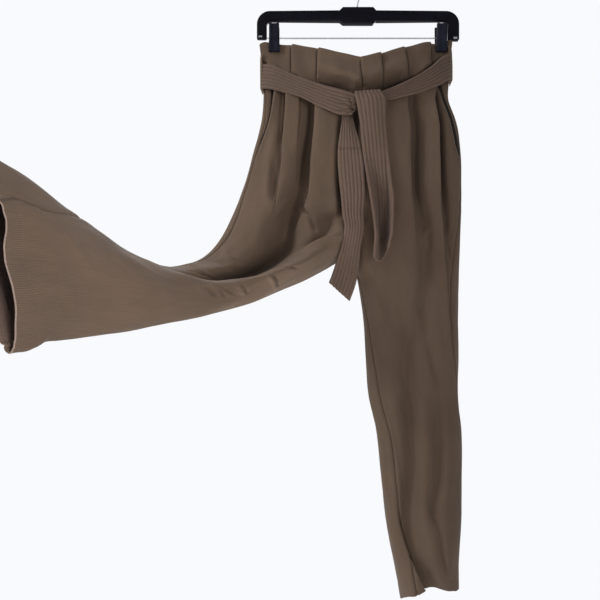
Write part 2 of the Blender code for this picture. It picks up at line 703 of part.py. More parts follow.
def make_bar(parts, cutters):
    curve = bpy.data.curves.new("bar", "CURVE")
    curve.dimensions = "2D"
    curve.fill_mode = "BOTH"
    curve.extrude = BAR_DEPTH / 2 * MM
    spline = curve.splines.new("POLY")
    outline = bar_outline()
    spline.points.add(len(outline) - 1)
    for point, (x, z) in zip(spline.points, outline):
        point.co = (x * MM, z * MM, 0, 1)
    spline.use_cyclic_u = True
    drawn = bpy.data.objects.new("bar", curve)
    parts.objects.link(drawn)
    mesh = bpy.data.meshes.new_from_object(drawn.evaluated_get(bpy.context.evaluated_depsgraph_get()))
    bpy.data.objects.remove(drawn)
    shape = bmesh.new()
    shape.from_mesh(mesh)
    bmesh.ops.remove_doubles(shape, verts=shape.verts, dist=0.00001)
    shape.to_mesh(mesh)
    shape.free()
    bar = placed(parts, "hanger_bar", mesh, PLASTIC_LOOK)
    bar.rotation_euler.x = math.pi / 2
    plate = rounded_box(
        cutters, "plate_block", PLATE, (0, 0, PLATE_TOP - PLATE[2] / 2), 0, PLASTIC_LOOK
    )
    plate.hide_render = True
    plate.display_type = "WIRE"
    joined = bar.modifiers.new("Plate", "BOOLEAN")
    joined.operation = "UNION"
    joined.object = plate


def make_hanger(parts, cutters):
    make_bar(parts, cutters)
    centre = HOOK_WIRE / 2 - HOOK_RADIUS
    arc = np.radians(np.linspace(*HOOK_ARC, 26))
    hook = [(x, 0, z) for x, z in SHANK]
    hook += [(HOOK_RADIUS * math.cos(a), 0, centre + HOOK_RADIUS * math.sin(a)) for a in arc]
    wire_curve(parts, "hanger_hook", hook, HOOK_WIRE, STEEL_LOOK)

    reach = BAR_HALF - ARM_WIDTH - SEAM_GAP
    ends = [(-reach, 0, WIRE_HEIGHT), (reach, 0, WIRE_HEIGHT)]
    wire_curve(parts, "hanger_wire", ends, WIRE, STEEL_LOOK)

    height = CLIP_TOP - CLIP_BOTTOM
    tilt = math.atan((JAW_SPREAD - JAW_GRIP) / height)
    middle = (JAW_SPREAD + JAW_GRIP + JAW) / 2
    for side, x in CLIPS.items():
        for face, sign in (("front", -1), ("back", 1)):
            rounded_box(
                parts,
                f"clip_{side}_{face}_jaw",
                (CLIP_WIDTH, JAW, height),
                (x, sign * middle, (CLIP_TOP + CLIP_BOTTOM) / 2),
                -sign * tilt,
                PLASTIC_LOOK,
            )
        make_spring(parts, f"clip_{side}_spring", x)


def make_spring(parts, name, x):
    """A sleeve round the wire, turned from its section, between a clip's two jaws."""
    half = CLIP_WIDTH / 2 - SPRING_INSET
    bore = WIRE / 2 + SEAM_GAP
    section = [(bore, half), (SPRING_OUTER, half), (SPRING_OUTER, -half), (bore, -half)]
    profile = bmesh.new()
    corners = [profile.verts.new((radius * MM, 0, z * MM)) for radius, z in section]
    for start, end in zip(corners, corners[1:] + corners[:1]):
        profile.edges.new((start, end))
    mesh = bpy.data.meshes.new(name)
    profile.to_mesh(mesh)
    profile.free()
    spring = placed(parts, name, mesh, STEEL_LOOK)
    spring.location = (x * MM, 0, WIRE_HEIGHT * MM)
    spring.rotation_euler.y = math.pi / 2
    turned = spring.modifiers.new("Turn", "SCREW")
    turned.steps = 16
    turned.render_steps = 16
    turned.use_merge_vertices = True
    turned.merge_threshold = 0.0001


def main():
    for old in list(bpy.data.objects):
        bpy.data.objects.remove(old)
    parts = bpy.data.collections.new("paperbag_trousers_on_hanger")
    cutters = bpy.data.collections.new("cutters")
    for collection in (parts, cutters):
        bpy.context.scene.collection.children.link(collection)
    make_legs(parts)
    make_band(parts)
    make_belt(parts)
    make_hanger(parts, cutters)


main()
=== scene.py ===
"""Looks for the paperbag waist trousers on a clip hanger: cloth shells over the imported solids' forms.

Millimetres in the tables, metres in the meshes. The tables and the leg, band and belt functions began
as part.py's own. Here they are read at finer steps, some places lie a few millimetres off the solids,
and the pleats' laps, the creases and the stitching are added.
"""

import math

import bmesh
import bpy
import numpy as np
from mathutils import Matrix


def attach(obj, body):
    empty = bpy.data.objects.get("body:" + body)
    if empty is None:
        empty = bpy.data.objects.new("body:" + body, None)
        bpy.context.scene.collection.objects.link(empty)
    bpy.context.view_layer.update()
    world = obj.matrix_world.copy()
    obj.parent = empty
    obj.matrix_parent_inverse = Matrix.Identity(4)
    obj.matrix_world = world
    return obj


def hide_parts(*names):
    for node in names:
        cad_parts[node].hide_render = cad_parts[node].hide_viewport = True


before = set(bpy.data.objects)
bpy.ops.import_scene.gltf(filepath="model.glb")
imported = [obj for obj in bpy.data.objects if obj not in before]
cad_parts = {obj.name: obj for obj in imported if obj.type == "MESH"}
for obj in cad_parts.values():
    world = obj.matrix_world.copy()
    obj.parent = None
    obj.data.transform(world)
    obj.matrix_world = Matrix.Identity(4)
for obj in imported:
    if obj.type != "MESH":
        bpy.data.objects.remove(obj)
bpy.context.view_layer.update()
MM = 0.001

# ---------------------------------------------------------------- sizes
HEM_REACH = 880  # from the waist seam down the outseam to the hem
HEM_DEPTH = 24  # the turned-up hem
HEM_CLOTH = 1.8
HEM_RAISED_FROM, HEM_RAISED_OVER = 790, 80  # where the hem's own line draws the cloth up
CROTCH_REACH = 280
CROTCH_CURVE = 90  # how far above the crotch the centre seams start to curve in
SHELL = 0.7  # the cloth's own thickness
SHELL_OUT = 0.25  # how far outside the CAD surface the shell starts
SEAM_GAP = 0.35
PLEAT_STEP = 1.4  # how wide the steep side of a pleat is
LAP = 5.5  # how far a pleat's folded edge laps over its foot at the most
LAP_SLOPE = 0.9  # and at the most for each millimetre that the pleat stands forward
LAP_REACH = 7  # how far on from its edge it settles back
TUCK, TUCK_WIDTH = 4.5, 1.7  # how deep the cloth tucks in under a folded edge, over what width
PANEL_GAP = 0.1  # how far a panel's edges are drawn in at its seams
SEAM_RIDGE = 0.6, 3.5, 5  # height, width and place of the ridge over a seam's turned allowance
SEAM_DIP, HEM_DIP = (2.4, 1.3), (0.35, 1.3)  # depths and widths of the dips at the stitches
UNEVEN, FINE_UNEVEN = (0.55, 3, 46.0), (0.16, 4, 15.0)  # height, seed and size of the cloth's waves
FACING_UNEVEN, BAND_UNEVEN = 0.2, 0.5  # heights of the facings' and the band's waves

FACING_START = 0.015  # the pocket facing's turn past the outseam
FACING_UNDERLAP = 0.07  # its turn past the pocket mouth
FACING_END = 0.92  # how far down the pocket mouth it runs
FACING_SUNK = 0.4  # how deep inside the panels it lies at the outseam
FACING_DEPTH = 2.2  # and how much deeper it gets under the mouth
FACING_SINKS_BY = 0.625  # how far across it has got that deep
FACING_ROWS, FACING_COLUMNS = 60, 70
POCKET_GAPE = 2.5  # how far the mouth stands open at the waist
MOUTH_DENT = 6.5  # how deep the cleft along the mouth is
MOUTH_CLEFT, MOUTH_OPENS = 1.6, 3.0  # how wide that cleft is at its foot, and how much wider at the waist
MOUTH_SHADE = 5.2  # how wide the painted shade at the cleft's bottom is, along the mouth
MOUTH_STANDS_OPEN = 6.0  # and how much wider at the waist
HIDDEN_MOUTH = 11.0  # how wide the painted shade is on the hanging leg, whose front hides part of it
STITCH, STITCH_PITCH, STITCH_SAG = 2.8, 3.6, 0.25
STITCHES_INSET = 6.0  # from the mouth's edge to its topstitching
TACK_STITCHES, TACK_PITCH, TACK_PROUD = 15, 0.55, 0.15
ON_CLOTH = SHELL_OUT + SHELL  # the cloth's outside

BAND_GAP = 0.6  # between the paperbag band and the trousers' waist edge
BAND_STEP = 4  # how far a step's upper side stands off
BAND_STEP_REACH = 20  # how far along the band it takes to settle back
BAND_ROWS = 44
BAND_DRAWN_BY = 0.85  # how far down the band is gathered to its waist width
BAND_UPRIGHT_TO = 0.2  # and how far down it keeps the depth of its top edge
BAND_LAP = 4.0  # how far a band's step laps over its foot
BAND_TUCK = 3.2, 1.5  # how deep the cloth tucks in under it, over what width
CENTRE_TUCK, CENTRE_TUCK_DEPTH = 3.0, 7.0  # half the width and the depth of the centre front's tuck
DRAWN_BEHIND_BELT = 31, 18, -3  # how far the belt draws the band in, over what height, where
SWELLS_ABOVE_BELT = 8, 15, 36  # how far the band swells out above that
BELT_GAP = 12, 2.8, 1.5  # how far the band falls away along the belt's top edge
GAPES_FROM = -76  # left of here it does so only between pleats
PLEAT_AT, PLEAT_PITCH = -136, 27  # x of the first of those gaps, and how far apart they are
SIGHT_CLIMBS = 0.36  # how much the photo's line of sight climbs with each millimetre that it goes in
CLIP_X = 146  # how far out the clips hold the band flat
BAND_SIDES = (-166.3, -159), (160.1, -144)  # x of its sides behind the belt loops, up to these heights

BELT_CLOTH = 1.4  # wall of the belt between its ribs
BELT_RIB = 0.7  # how far each stitched channel of the belt stands proud
BELT_CHANNELS, BELT_WIDTH = 7, 46
BELT_STITCH = 3.4  # pitch of the stitches between its channels
BELT_PUCKER, BELT_SWAY = 0.16, 0.5  # heights of its fine and its long waves
BELT_FOLD = 2.2, 2.0  # depth and width of a fold pressed across it
KNOT_GATHERS = 2.4  # height of the gathers beside the knot
KNOT_DENT = 3.5, 6  # depth and width of the dent in their middle
BELT_CENTRE = 4  # x of the belt's middle
BELT_HALF_RIGHT = 170.7  # from there to its inner face at each side
BELT_HALF_LEFT = 156.6


def table(columns, text):
    """A short table: each named column as an array. A comma or a new line ends a row."""
    rows = [row.split() for row in text.replace(",", "\n").splitlines() if row.strip()]
    return dict(zip(columns.split(), np.array(rows, float).T))


def fold(steep, text):
    """A fold of a front panel: it pushes the cloth up only where its rows have a fifth number."""
    made = table("reach share width forward up", text)
    return steep, {**made, "up": made.get("up", 0 * made["reach"])}


LEG = "reach out_x out_y out_z in_x in_y in_z front back face out_seam in_seam"
CREASE = "a_reach a_turn b_reach b_turn bend width depth"
BELT = "turn top bottom upper lower"
TAIL = "a_x a_y a_z b_x b_y b_z bow"

# The legs, swung and hanging. out and in are the edges of a leg's section, and face is the heading that
# its front turns to, in degrees from straight ahead. out_seam and in_seam are how far round to the front
# the seams lie. Above the crotch the inner edge is the centre of the trunk, which both legs share.
SWUNG = table(LEG, """
    0 -164 0 -198 4 0 -232 32 24 0 .12 0
    60 -167 0 -262 3 0 -290 38 26 0 .14 0
    120 -183 -4 -325 1 -1 -347 39 28 0 .15 0
    180 -198 -10 -380 -3.2 -3 -402 37 29 0 .15 0
    235 -214 -22 -427 -9 -5 -450 33 28 0 .15 0
    280 -232 -44 -470 -13 -8 -488 28 30 3 .14 0
    340 -256 -86 -508 -50 -28 -517 25 50 14 .1 0
    400 -280 -135 -523 -97 -64 -543 25 60 20 .05 0
    450 -292 -175 -528 -134 -101 -560 26 60 25 .02 0
    500 -308 -215 -525 -173 -150 -577 28 56 32 0 0
    570 -330 -285 -511 -222 -223 -593 30 48 42 0 0
    640 -346 -345 -491 -262 -291 -601 30 40 52 .04 0
    710 -358 -400 -474 -297 -354 -609 26 31 60 .2 -.03
    780 -366 -460 -456 -326 -420 -612 20 22 68 .312 -.07
    815 -370 -484 -452 -335 -450 -611.8 18 18 71 .312 -.085
    836 -372 -498 -450 -340 -468 -612.3 16 16 73 .311 -.094
    850 -373 -508 -449 -343 -480 -616 15 15 75 .31 -.1
    880 -377 -530 -446 -350 -510 -620 14 14 78 .335 -.12
""")
HANGING = table(LEG, """
    0 157 0 -195 4 0 -232 32 24 0 .1 0
    30 157 0 -226 3.5 0 -261 35 25 0 .1 0
    60 168 0 -259 3 0 -290 38 26 0 .09 0
    120 178 0 -321 1 -1 -347 39 28 0 .08 0
    180 179 0 -382 -2.8 -3 -402 37 29 0 .09 0
    235 178 0 -437 -7 -5 -450 33 28 0 .13 0
    280 177 0 -484 -9 -8 -488 28 28 0 .16 0
    340 175 0 -545 2 -1 -546 33 30 0 .21 .06
    400 174 0 -606 10 0 -606 35 32 0 .21 .11
    470 174 0 -677 14 0 -677 36 33 0 .17 .17
    530 173 0 -738 19 0 -738 36 33 0 .08 .21
    600 179 0 -809 33 0 -807 36 33 0 0 .24
    690 179 0 -898 42 0 -893 36 33 0 0 .26
    770 178 0 -976 51 0 -970 36 32 0 0 .27
    830 174 0 -1036 64 0 -1036 35 31 0 0 .28
    880 174 0 -1078 75 0 -1096 34 30 0 0 .3
""")

# Folds of the front panels. share is how far across the leg the fold lies, as seen from the front. It
# pushes the cloth forward and up, over its width. A pleat has one steep side, towards the outer edge
# (1) or the inner edge (-1); a soft fold has none (0).
SWUNG_FOLDS = {
    "outer pleat": fold(1, """0 .232 14 7, 65 .234 15 7, 90 .248 15 6.5, 112 .274 16 6, 140 .293 18 5
        172 .304 19 3.4, 205 .32 20 1.6, 245 .335 21 0"""),
    "outer hollow": fold(0, """0 .2 6 -4, 65 .205 7 -5, 90 .22 7 -6, 112 .245 8 -6, 140 .265 8 -6
        172 .275 8 -6, 215 .29 9 0"""),
    "middle pleat": fold(-1, """0 .362 14 4, 45 .368 14 4, 75 .372 15 4, 95 .39 15 3.6, 122 .412 16 2.6
        150 .43 17 1.4, 185 .445 18 0"""),
    "inner pleat": fold(1, """0 .535 20 8, 60 .531 23 8, 110 .54 26 8, 150 .557 28 7.5, 180 .568 29 6.5
        220 .555 32 4, 260 .52 34 0"""),
    "inner hollow": fold(0, """0 .51 7 -7, 30 .508 7 -13, 110 .51 8 -14, 150 .522 9 -14, 180 .53 10 -12
        220 .505 12 -8, 265 .45 14 0"""),
    "middle hollow": fold(0, "0 .45 9 -3, 60 .45 10 -4.5, 130 .46 11 -5, 175 .48 12 0"),
    "beside the tail": fold(0, """20 .8 5 0, 45 .8 6 -9, 75 .795 5 -10, 125 .8 4.5 -10, 155 .82 5.5 -12
        195 .865 6 -13, 235 .89 8 0"""),
    "behind the knot": fold(0, "0 .94 9 -8, 25 .94 9 -14, 90 .935 9 -14, 150 .92 9 0"),
    "hip crease": fold(0, """0 .48 9 -3 0, 110 .475 12 -10 0, 190 .46 17 -22 0, 255 .45 23 -44 -4
        310 .465 29 -60 -10, 380 .48 30 -66 -12, 430 .44 30 -52 -11, 480 .37 29 -25 -6, 540 .28 26 0 0"""),
    "thigh ridge": fold(0, """180 .92 40 0 0, 230 .9 40 15 4, 300 .84 40 32 15, 400 .81 38 28 15
        450 .78 38 17 13, 500 .69 38 8 8, 540 .54 40 4 6, 600 .36 40 0 0"""),
    "hem wave": fold(0, "700 .7 30 0, 880 .72 26 3"),
}
HANGING_FOLDS = {
    "outer pleat": fold(1, """0 .175 12 5, 55 .21 13 8, 112 .244 14 8.5, 172 .236 14 8, 240 .205 15 7
        302 .172 15 5.5, 370 .149 16 4.5, 440 .12 16 3.5, 510 .066 16 0"""),
    "outer hollow": fold(0, """0 .14 6 -4, 35 .163 6 -14, 80 .195 6 -20, 112 .209 6 -23, 172 .202 6.5 -22
        207 .18 8 -16, 241 .167 9 -10, 320 .14 9 0"""),
    "centre front": fold(0, """120 .97 24 0, 180 .97 26 10, 235 .96 28 20, 280 .95 28 22, 340 .93 26 11
        400 .9 22 0"""),
    "pleat hollow": fold(0, """0 .42 11 -6, 58 .44 12 -20, 126 .465 13 -26, 177 .452 13 -26
        213 .405 13 -22, 258 .37 13 -17, 328 .368 13 -12, 402 .4 12 -6, 450 .4 12 0"""),
    "inner pleat": fold(1, """0 .49 20 6, 25 .498 20 7, 59 .515 22 8, 106 .528 24 8, 158 .512 26 7
        194 .492 28 5, 231 .466 30 2, 262 .45 30 0"""),
    "long trough": fold(0, """370 .55 20 0, 430 .57 17 -13, 480 .6 16 -16, 531 .59 15 -17, 600 .613 15 -17
        650 .636 15 -17, 730 .695 16 -17, 775 .72 18 -13, 815 .7 18 0"""),
    "second trough": fold(0, """520 .3 15 0, 560 .3 14 -9, 622 .323 13 -12, 673 .349 12 -12, 721 .4 11 -9
        760 .36 12 0"""),
    "hem strip": fold(1, "730 .87 26 0 0, 800 .8 24 8 4, 850 .7 26 15 13, 880 .65 28 18 20"),
    "hem hollow": fold(0, "730 .75 18 0 0, 800 .68 20 -8 3, 850 .53 22 -15 8, 880 .47 26 -20 15"),
}

# The pocket mouths: how far round the front each is cut away past the outseam, down to where it ends.
SWUNG_POCKET = table("reach cut", "0 .19, 125 0")
HANGING_POCKET = table("reach cut", "0 .25, 12 .21, 35 .145, 79 .142, 105 .125, 122 .07, 132 0")

# How much shorter than the solid's hem the cloth hangs, round the front of each leg.
SWUNG_HEM = table("turn short", "0 0, .24 9, .32 13, .4 15, .44 11, .49 3, .54 0, 1 0")
HANGING_HEM = table("turn short", """
    0 0, .16 2, .24 6, .32 5, .4 3, .48 3, .56 8, .59 12, .613 16, .629 19, .633 1, .64 0, .7 .5, .75 3
    .8 4, .88 2, 1 0
""")

# Creases on each leg. a and b are the ends of a crease, in reach and turn; bend bows it sideways in
# its middle, width is half its breadth and depth how far it stands out, or in if it is below 0.
SWUNG_CREASES = table(CREASE, """
    110 .405 222 .515 2 4 -5.5, 120 .38 232 .49 2 6 3.2, 196 .697 232 .684 1 3 -6.5
    220 .688 260 .638 -1 3 -6.5, 196 .735 250 .7 3 6 2.2, 192 .61 234 .46 0 3 2, 214 .91 302 .54 5 9 -16
    232 .93 342 .57 6 9 9, 447 .2 427 .42 0 4 -3.4, 389 .1 418 .38 3 4 -4.5, 404 .12 432 .36 3 4 2.6
    341 .22 388 .41 0 9 -5, 308 .2 354 .4 2 5 -2.8, 300 .16 345 .33 2 7 2.2, 407 .64 395 .79 0 3 -3.4
    437 .66 455 .93 2 2.2 -4.2, 443 .65 464 .92 2 2.4 4, 488 .63 501 .79 1 2.2 -4.6
    494 .62 508 .78 1 3.2 2.6, 521 .585 517 .75 0 2.2 -3.6, 525 .6 535 .74 0 2.2 -4.2
    531 .575 541 .7 0 2.6 3.4, 538 .54 546 .7 0 3.6 -5, 550 .52 560 .66 0 4 1.6, 690 .37 664 .5 0 3 2
    765 .38 738 .55 3 7 2.2, 822 .6 800 .76 0 8 -2, 832 .86 880 .97 0 10 3, 828 -.92 866 -.98 0 12 -6.4
    560 .3 700 .42 9 12 -1.6, 600 .5 790 .56 -10 15 1.5, 640 .66 820 .6 9 14 -1.6, 700 .36 850 .46 7 12 1.2
    760 .72 878 .72 -6 11 1.6, 800 .56 879 .52 4 10 -1.8, 120 -.3 300 -.34 8 12 3.2
    150 -.62 300 -.58 -9 12 2.9, 262 -.86 330 -.6 10 8 -4.8, 280 -.96 372 -.66 9 8 3.8
    330 -.8 420 -.46 9 9 -4.2, 400 -.72 470 -.42 8 9 3.5, 470 -.66 540 -.36 6 8 -3.5
    560 -.52 740 -.6 9 14 2.6, 640 -.3 800 -.36 -8 12 -2.6, 720 -.7 870 -.64 7 12 2.4
""")
HANGING_CREASES = table(CREASE, """
    238 .44 286 .39 0 3 2.6, 244 .405 292 .37 0 4 -2.4, 318 .4 368 .43 0 3 2.2, 222 .31 262 .26 0 4 -2.6
    272 .25 312 .19 0 4 -2.8, 296 .9 400 .7 12 9 -2.2, 330 .92 460 .74 10 11 1.6, 366 .45 440 .415 0 5 -3.2
    420 .43 530 .3 -4 5 -4.2, 400 .36 500 .24 -4 9 2.4, 600 .46 720 .5 4 8 1.8, 500 .7 610 .7 6 9 1.6
    706 .455 744 .44 0 4 -3, 734 .45 764 .38 0 4 -3.4, 752 .39 832 .335 -2 5 -3.8
    806 .365 838 .31 0 3 -2.6, 742 .33 850 .27 -3 8 2, 770 .5 872 .42 3 10 2, 120 -.34 310 -.38 8 12 3.2
    160 -.66 300 -.6 -9 12 2.9, 264 -.88 340 -.62 10 8 -4.8, 290 -.96 390 -.7 9 9 3.5
    360 -.84 470 -.62 12 11 -2.6, 470 -.3 640 -.44 10 12 -3.2, 520 -.62 690 -.54 9 13 2.9
    600 -.8 760 -.74 -7 12 -2.7, 700 -.36 860 -.42 8 12 2.6, 780 -.6 879 -.62 4 11 -2.9
""")

# The paperbag band stands above the waist seam. Its top edge, from each side seam to the centre front:
# share is how far along the band, and the clips hold it flat near its ends.
BAND_TOP_RIGHT = table("share x y z", """
    0 -172 -.2 -127, .05 -165 -.5 -124, .13 -151 -.5 -126, .21 -137 -.6 -128, .34 -115 -8 -133
    .59 -70 -18 -143, .8 -33 -25 -152.5, 1 2 -28 -161
""")
BAND_TOP_LEFT = table("share x y z", """
    0 164 -.2 -123, .03 161 -3 -120, .06 157 -.5 -121, .13 145 -.4 -125, .18 136 -.6 -127, .29 120 -8 -129
    .55 73 -20 -143, .8 33 -26 -155, 1 2 -28 -161
""")
BAND_TOP_BACK = table("share x y z", """
    0 -172 .2 -127, .04 -160 .5 -125, .1 -137 .6 -128, .25 -90 12 -134, .5 0 22 -142, .75 88 12 -134
    .9 136 .6 -127, .96 154 .5 -121, 1 164 .2 -123
""")

# Steps pressed into the band: how far along it each stands, from the side seam, at its top edge and
# at the waist.
BAND_STEPS_RIGHT = ((.36, .30), (.61, .56))
BAND_STEPS_LEFT = ((.27, .215), (.545, .49), (.80, .80))
BAND_STEPS_BACK = ((.24, .25), (.36, .37), (.62, .61), (.76, .75))

# The belt's stretches round the waist: turn is the angle round from the side, in degrees, top and
# bottom are its edges' heights, and upper and lower are how far they stand forward at the centre.
BELT_RIGHT = table(BELT, """
    0 -162 -204 34 49, 32 -175 -218 39 49, 52 -199 -234 44 49, 68 -215 -255 45 48, 80 -225 -266 45 46
    84 -229 -264 45 46, 86 -233 -255 45 46
""")
BELT_LEFT = table(BELT, """
    0 -146 -190 32 48, 18 -150 -196 34 48, 32 -162 -208 38 48, 38 -172 -213 41 48, 60 -204 -231 44 46
    77 -224 -242 44 45, 83 -230 -246 44 45
""")
BELT_BACK = table(BELT, """
    -180 -146 -190 30 34, -150 -156 -203 31 34, -90 -178 -224 31 34, -30 -172 -216 31 34, 0 -162 -204 30 34
""")

# The belt's two tails hang from the knot. a and b are the edges of a tail at each row, as worn, from
# the right to the left; bow is how far its middle stands out of them.
SHORT_TAIL = table(TAIL, """
    -26 -38 -256 -14 -38 -256 0, -30 -42 -270 -13 -42 -270 1, -33 -48 -287 -10 -48 -287 3
    -38 -51 -321 -1 -51 -321 3, -38 -52 -354 4 -52 -354 2, -34 -54 -399 6 -54 -399 2
    -31 -57 -433 3 -57 -433 3, -28 -60 -456 3 -58 -456 4, -34 -59 -487 -2 -57 -487 4
    -41 -56 -510 -4 -55 -513 3, -48 -53 -532 -9 -52 -546 3, -53 -51 -545 -19 -50 -576 2
""")
LONG_TAIL = table(TAIL, """
    -7 -51 -242 33 -51 -240 0, -10 -52 -235 32 -52 -232 0, -11 -56 -232 32 -56 -229 0
    -11 -59 -237 33 -59 -234 1, -9 -60 -245 39 -60 -245 3, -3 -58 -278 40 -57 -278 3
    2 -55 -326 45 -54 -326 0, 8 -56 -367 49 -55 -367 -8, 14 -61 -409 53 -59 -409 -18
    20 -66 -459 51 -64 -459 -27, 20 -68 -478 49 -65 -472 -24, 18 -68 -503 46 -65 -485 -1
""")
KNOT = (7, -44.3, -247)  # the middle of the knot, behind the long tail's fold
KNOT_SIZE = (28, 6, 26)
KNOT_PINCH = (-13, -256)  # where the belt's own folds gather, beside the knot

# The belt loops at the side seams: x and z of each from top to bottom.
LOOP_RIGHT = ((-169.9, -147), (-170.6, -156), (-170.6, -180), (-170.4, -205), (-167, -214))
LOOP_LEFT = ((162.6, -134), (163.6, -143), (164.6, -165), (164.6, -190), (160.6, -199))


# ---------------------------------------------------------------- smooth numbers
def smooth(t):
    t = np.clip(t, 0, 1)
    return t * t * (3 - 2 * t)


def bell(distance, width=1):
    return np.exp(-((distance / width) ** 2))


def hump(distance, height, width, at=0):
    return height * bell(distance - at, width)


def length(ways):
    return np.linalg.norm(ways, axis=-1)


def unit(ways):
    return ways / np.maximum(length(ways), 1e-9)[..., None]


def along(knots, values, at):
    """A smooth curve through the values at the knots, read at other places."""
    at = np.clip(at, knots[0], knots[-1])
    slope = np.gradient(values, knots)
    i = np.clip(np.searchsorted(knots, at, side="right") - 1, 0, len(knots) - 2)
    width = knots[i + 1] - knots[i]
    t = (at - knots[i]) / width
    start, end = values[i], values[i + 1]
    return (
        start + (3 * t**2 - 2 * t**3) * (end - start)
        + (t**3 - 2 * t**2 + t) * width * slope[i] + (t**3 - t**2) * width * slope[i + 1]
    )


def read(source, columns, at):
    """The named columns of a table at these places along its first column, side by side."""
    knots = next(iter(source.values()))
    found = [along(knots, source[column], np.asarray(at, float)) for column in columns.split()]
    return np.stack(found, -1) if len(found) > 1 else found[0]


def on_line(at, knots, line):
    """Points of a line at these places, straight between its knots."""
    return np.stack([np.interp(at, knots, column) for column in line.T], -1)


def spread(knots, counts):
    """Places between knots, so many in each gap, for every row."""
    stations = np.concatenate([[0], np.cumsum(counts)])
    return np.stack([np.interp(np.arange(stations[-1] + 1), stations, row) for row in knots])


def wavy(along_mm, across_mm, seed, size=46.0, count=14):
    """Soft unevenness between -1 and 1 or so, longer down the cloth than across it."""
    dice = np.random.default_rng(seed)
    total = 0
    for _ in range(count):
        across_wave = 2 * np.pi / (size * dice.uniform(0.6, 1.8))
        along_wave = across_wave * dice.uniform(-0.45, 0.45)
        phase = dice.uniform(0, 2 * np.pi)
        total = total + np.sin(across_wave * across_mm + along_wave * along_mm + phase)
    return total / count**0.5


# ---------------------------------------------------------------- grids of points
def normals(points):
    """Unit normals of a grid: out of a leg's or band's front where its columns run rightwards."""
    return unit(np.cross(np.gradient(points, axis=0), np.gradient(points, axis=1)))


def moved_out(points, distance):
    return points + normals(points) * np.asarray(distance)[..., None]


def drawn_in(points, gap):
    """A grid with its first and last columns drawn in by a gap."""
    points = points.copy()
    for edge, beside in ((0, 1), (-1, -2)):
        points[:, edge] += unit(points[:, beside] - points[:, edge]) * gap
    return points


def run_along(points):
    """How far along its row each point of a grid lies."""
    steps = length(np.diff(points, axis=1))
    return np.concatenate([np.zeros((len(points), 1)), np.cumsum(steps, axis=1)], axis=1)


def cloth_uv(points):
    """Millimetres across and down a grid, so that the weave keeps its size."""
    across = run_along(points)
    across = across - across.mean(axis=1, keepdims=True)
    down = np.concatenate([[0], np.cumsum(length(np.diff(points, axis=0)).mean(axis=1))])
    return np.stack([across, down[:, None] + 0 * across], -1)


# ---------------------------------------------------------------- the surface of a leg
def closing(reach):
    """0 where the section is half of the trunk, 1 where it is a leg's whole tube."""
    return smooth((reach - (CROTCH_REACH - CROTCH_CURVE)) / CROTCH_CURVE)


def section_share(turn, closed):
    """How far across the leg a turn lies, as seen from the front."""
    angle = np.pi * turn
    return (1 - closed) * (1 - np.cos(angle / 2)) + closed * (1 - np.cos(angle)) / 2


def turn_at(share, closed):
    """The turn round the front that lies this far across the leg, found by halving."""
    low, high = np.zeros_like(share), np.ones_like(share)
    for _ in range(30):
        middle = (low + high) / 2
        below = section_share(middle, closed) < share
        low, high = np.where(below, middle, low), np.where(below, high, middle)
    return (low + high) / 2


def fold_push(steep, distance, step):
    """A fold's height at a distance from its line, in its own widths; step is its steep side's."""
    if steep == 0:
        return bell(distance)
    gentle = np.exp(-np.maximum(distance * steep, 0) ** 1.5)
    return np.where(distance * steep > 0, gentle, 1 - smooth(-distance * steep / step))


def lap_of(forward):
    return np.minimum(LAP, LAP_SLOPE * forward)


def leg_frame(leg, reach):
    """A leg's outer edge, the way from there to its inner edge, and the way its front faces."""
    outer, inner = read(leg, "out_x out_y out_z", reach), read(leg, "in_x in_y in_z", reach)
    face = np.radians(read(leg, "face", reach)) * np.sign(-leg["out_x"][0])
    return outer, inner - outer, np.stack([np.sin(face), -np.cos(face), 0 * face], -1)


def leg_points(leg, folds, reach, turn, lapped=False):
    """Points of a leg's surface: turn is 0 at the outer edge, 1 at the inner edge round the front,
    and -1 there round the back. Each pleat's folded edge laps over its foot where lapped is set."""
    reach, turn = np.broadcast_arrays(np.asarray(reach, float), np.asarray(turn, float))
    outer, across, ahead = leg_frame(leg, reach)
    closed = closing(reach)
    share = section_share(turn, closed)
    swell = (1 - closed) * np.sin(np.pi * turn / 2) + closed * np.sin(np.pi * turn)
    depth = np.where(swell > 0, read(leg, "front", reach), read(leg, "back", reach)) * swell
    points = outer + across * share[..., None] + ahead * depth[..., None]

    width = length(across)
    front_turn = np.where(turn < -1, turn + 2, turn)
    on_front = smooth(front_turn / 0.12) * (1 - closed * smooth((front_turn - 0.88) / 0.12))
    for steep, fold in folds.values():
        lives = (reach >= fold["reach"][0]) & (reach <= fold["reach"][-1])
        span, forward = read(fold, "width", reach), read(fold, "forward", reach)
        away = (share - read(fold, "share", reach)) * width
        push = fold_push(steep, away / span, PLEAT_STEP / span) * on_front * lives
        points = points + ahead * (push * forward)[..., None]
        points[..., 2] += push * read(fold, "up", reach)
        if steep and lapped:
            away, lap = away * steep, lap_of(forward)
            shape = np.where(away >= 0, bell(away, LAP_REACH), np.clip(1 + away / PLEAT_STEP, 0, 1))
            tuck = TUCK * (lap / LAP) ** 2 * bell(away + lap + 0.9, TUCK_WIDTH)
            aside = across * (steep * lap * shape / width)[..., None] + ahead * tuck[..., None]
            points = points - aside * (lives & (front_turn > 0))[..., None]
    return points


def set_back(leg, folds):
    """The folds with each pleat's foot set back by its lap, so that its folded edge keeps its line."""
    made = {}
    for name, (steep, fold) in folds.items():
        shift = steep * lap_of(fold["forward"]) / length(leg_frame(leg, fold["reach"])[1])
        made[name] = (steep, {**fold, "share": fold["share"] + shift})
    return made


def girth(points):
    return length(np.diff(points, axis=1)).sum(axis=1)


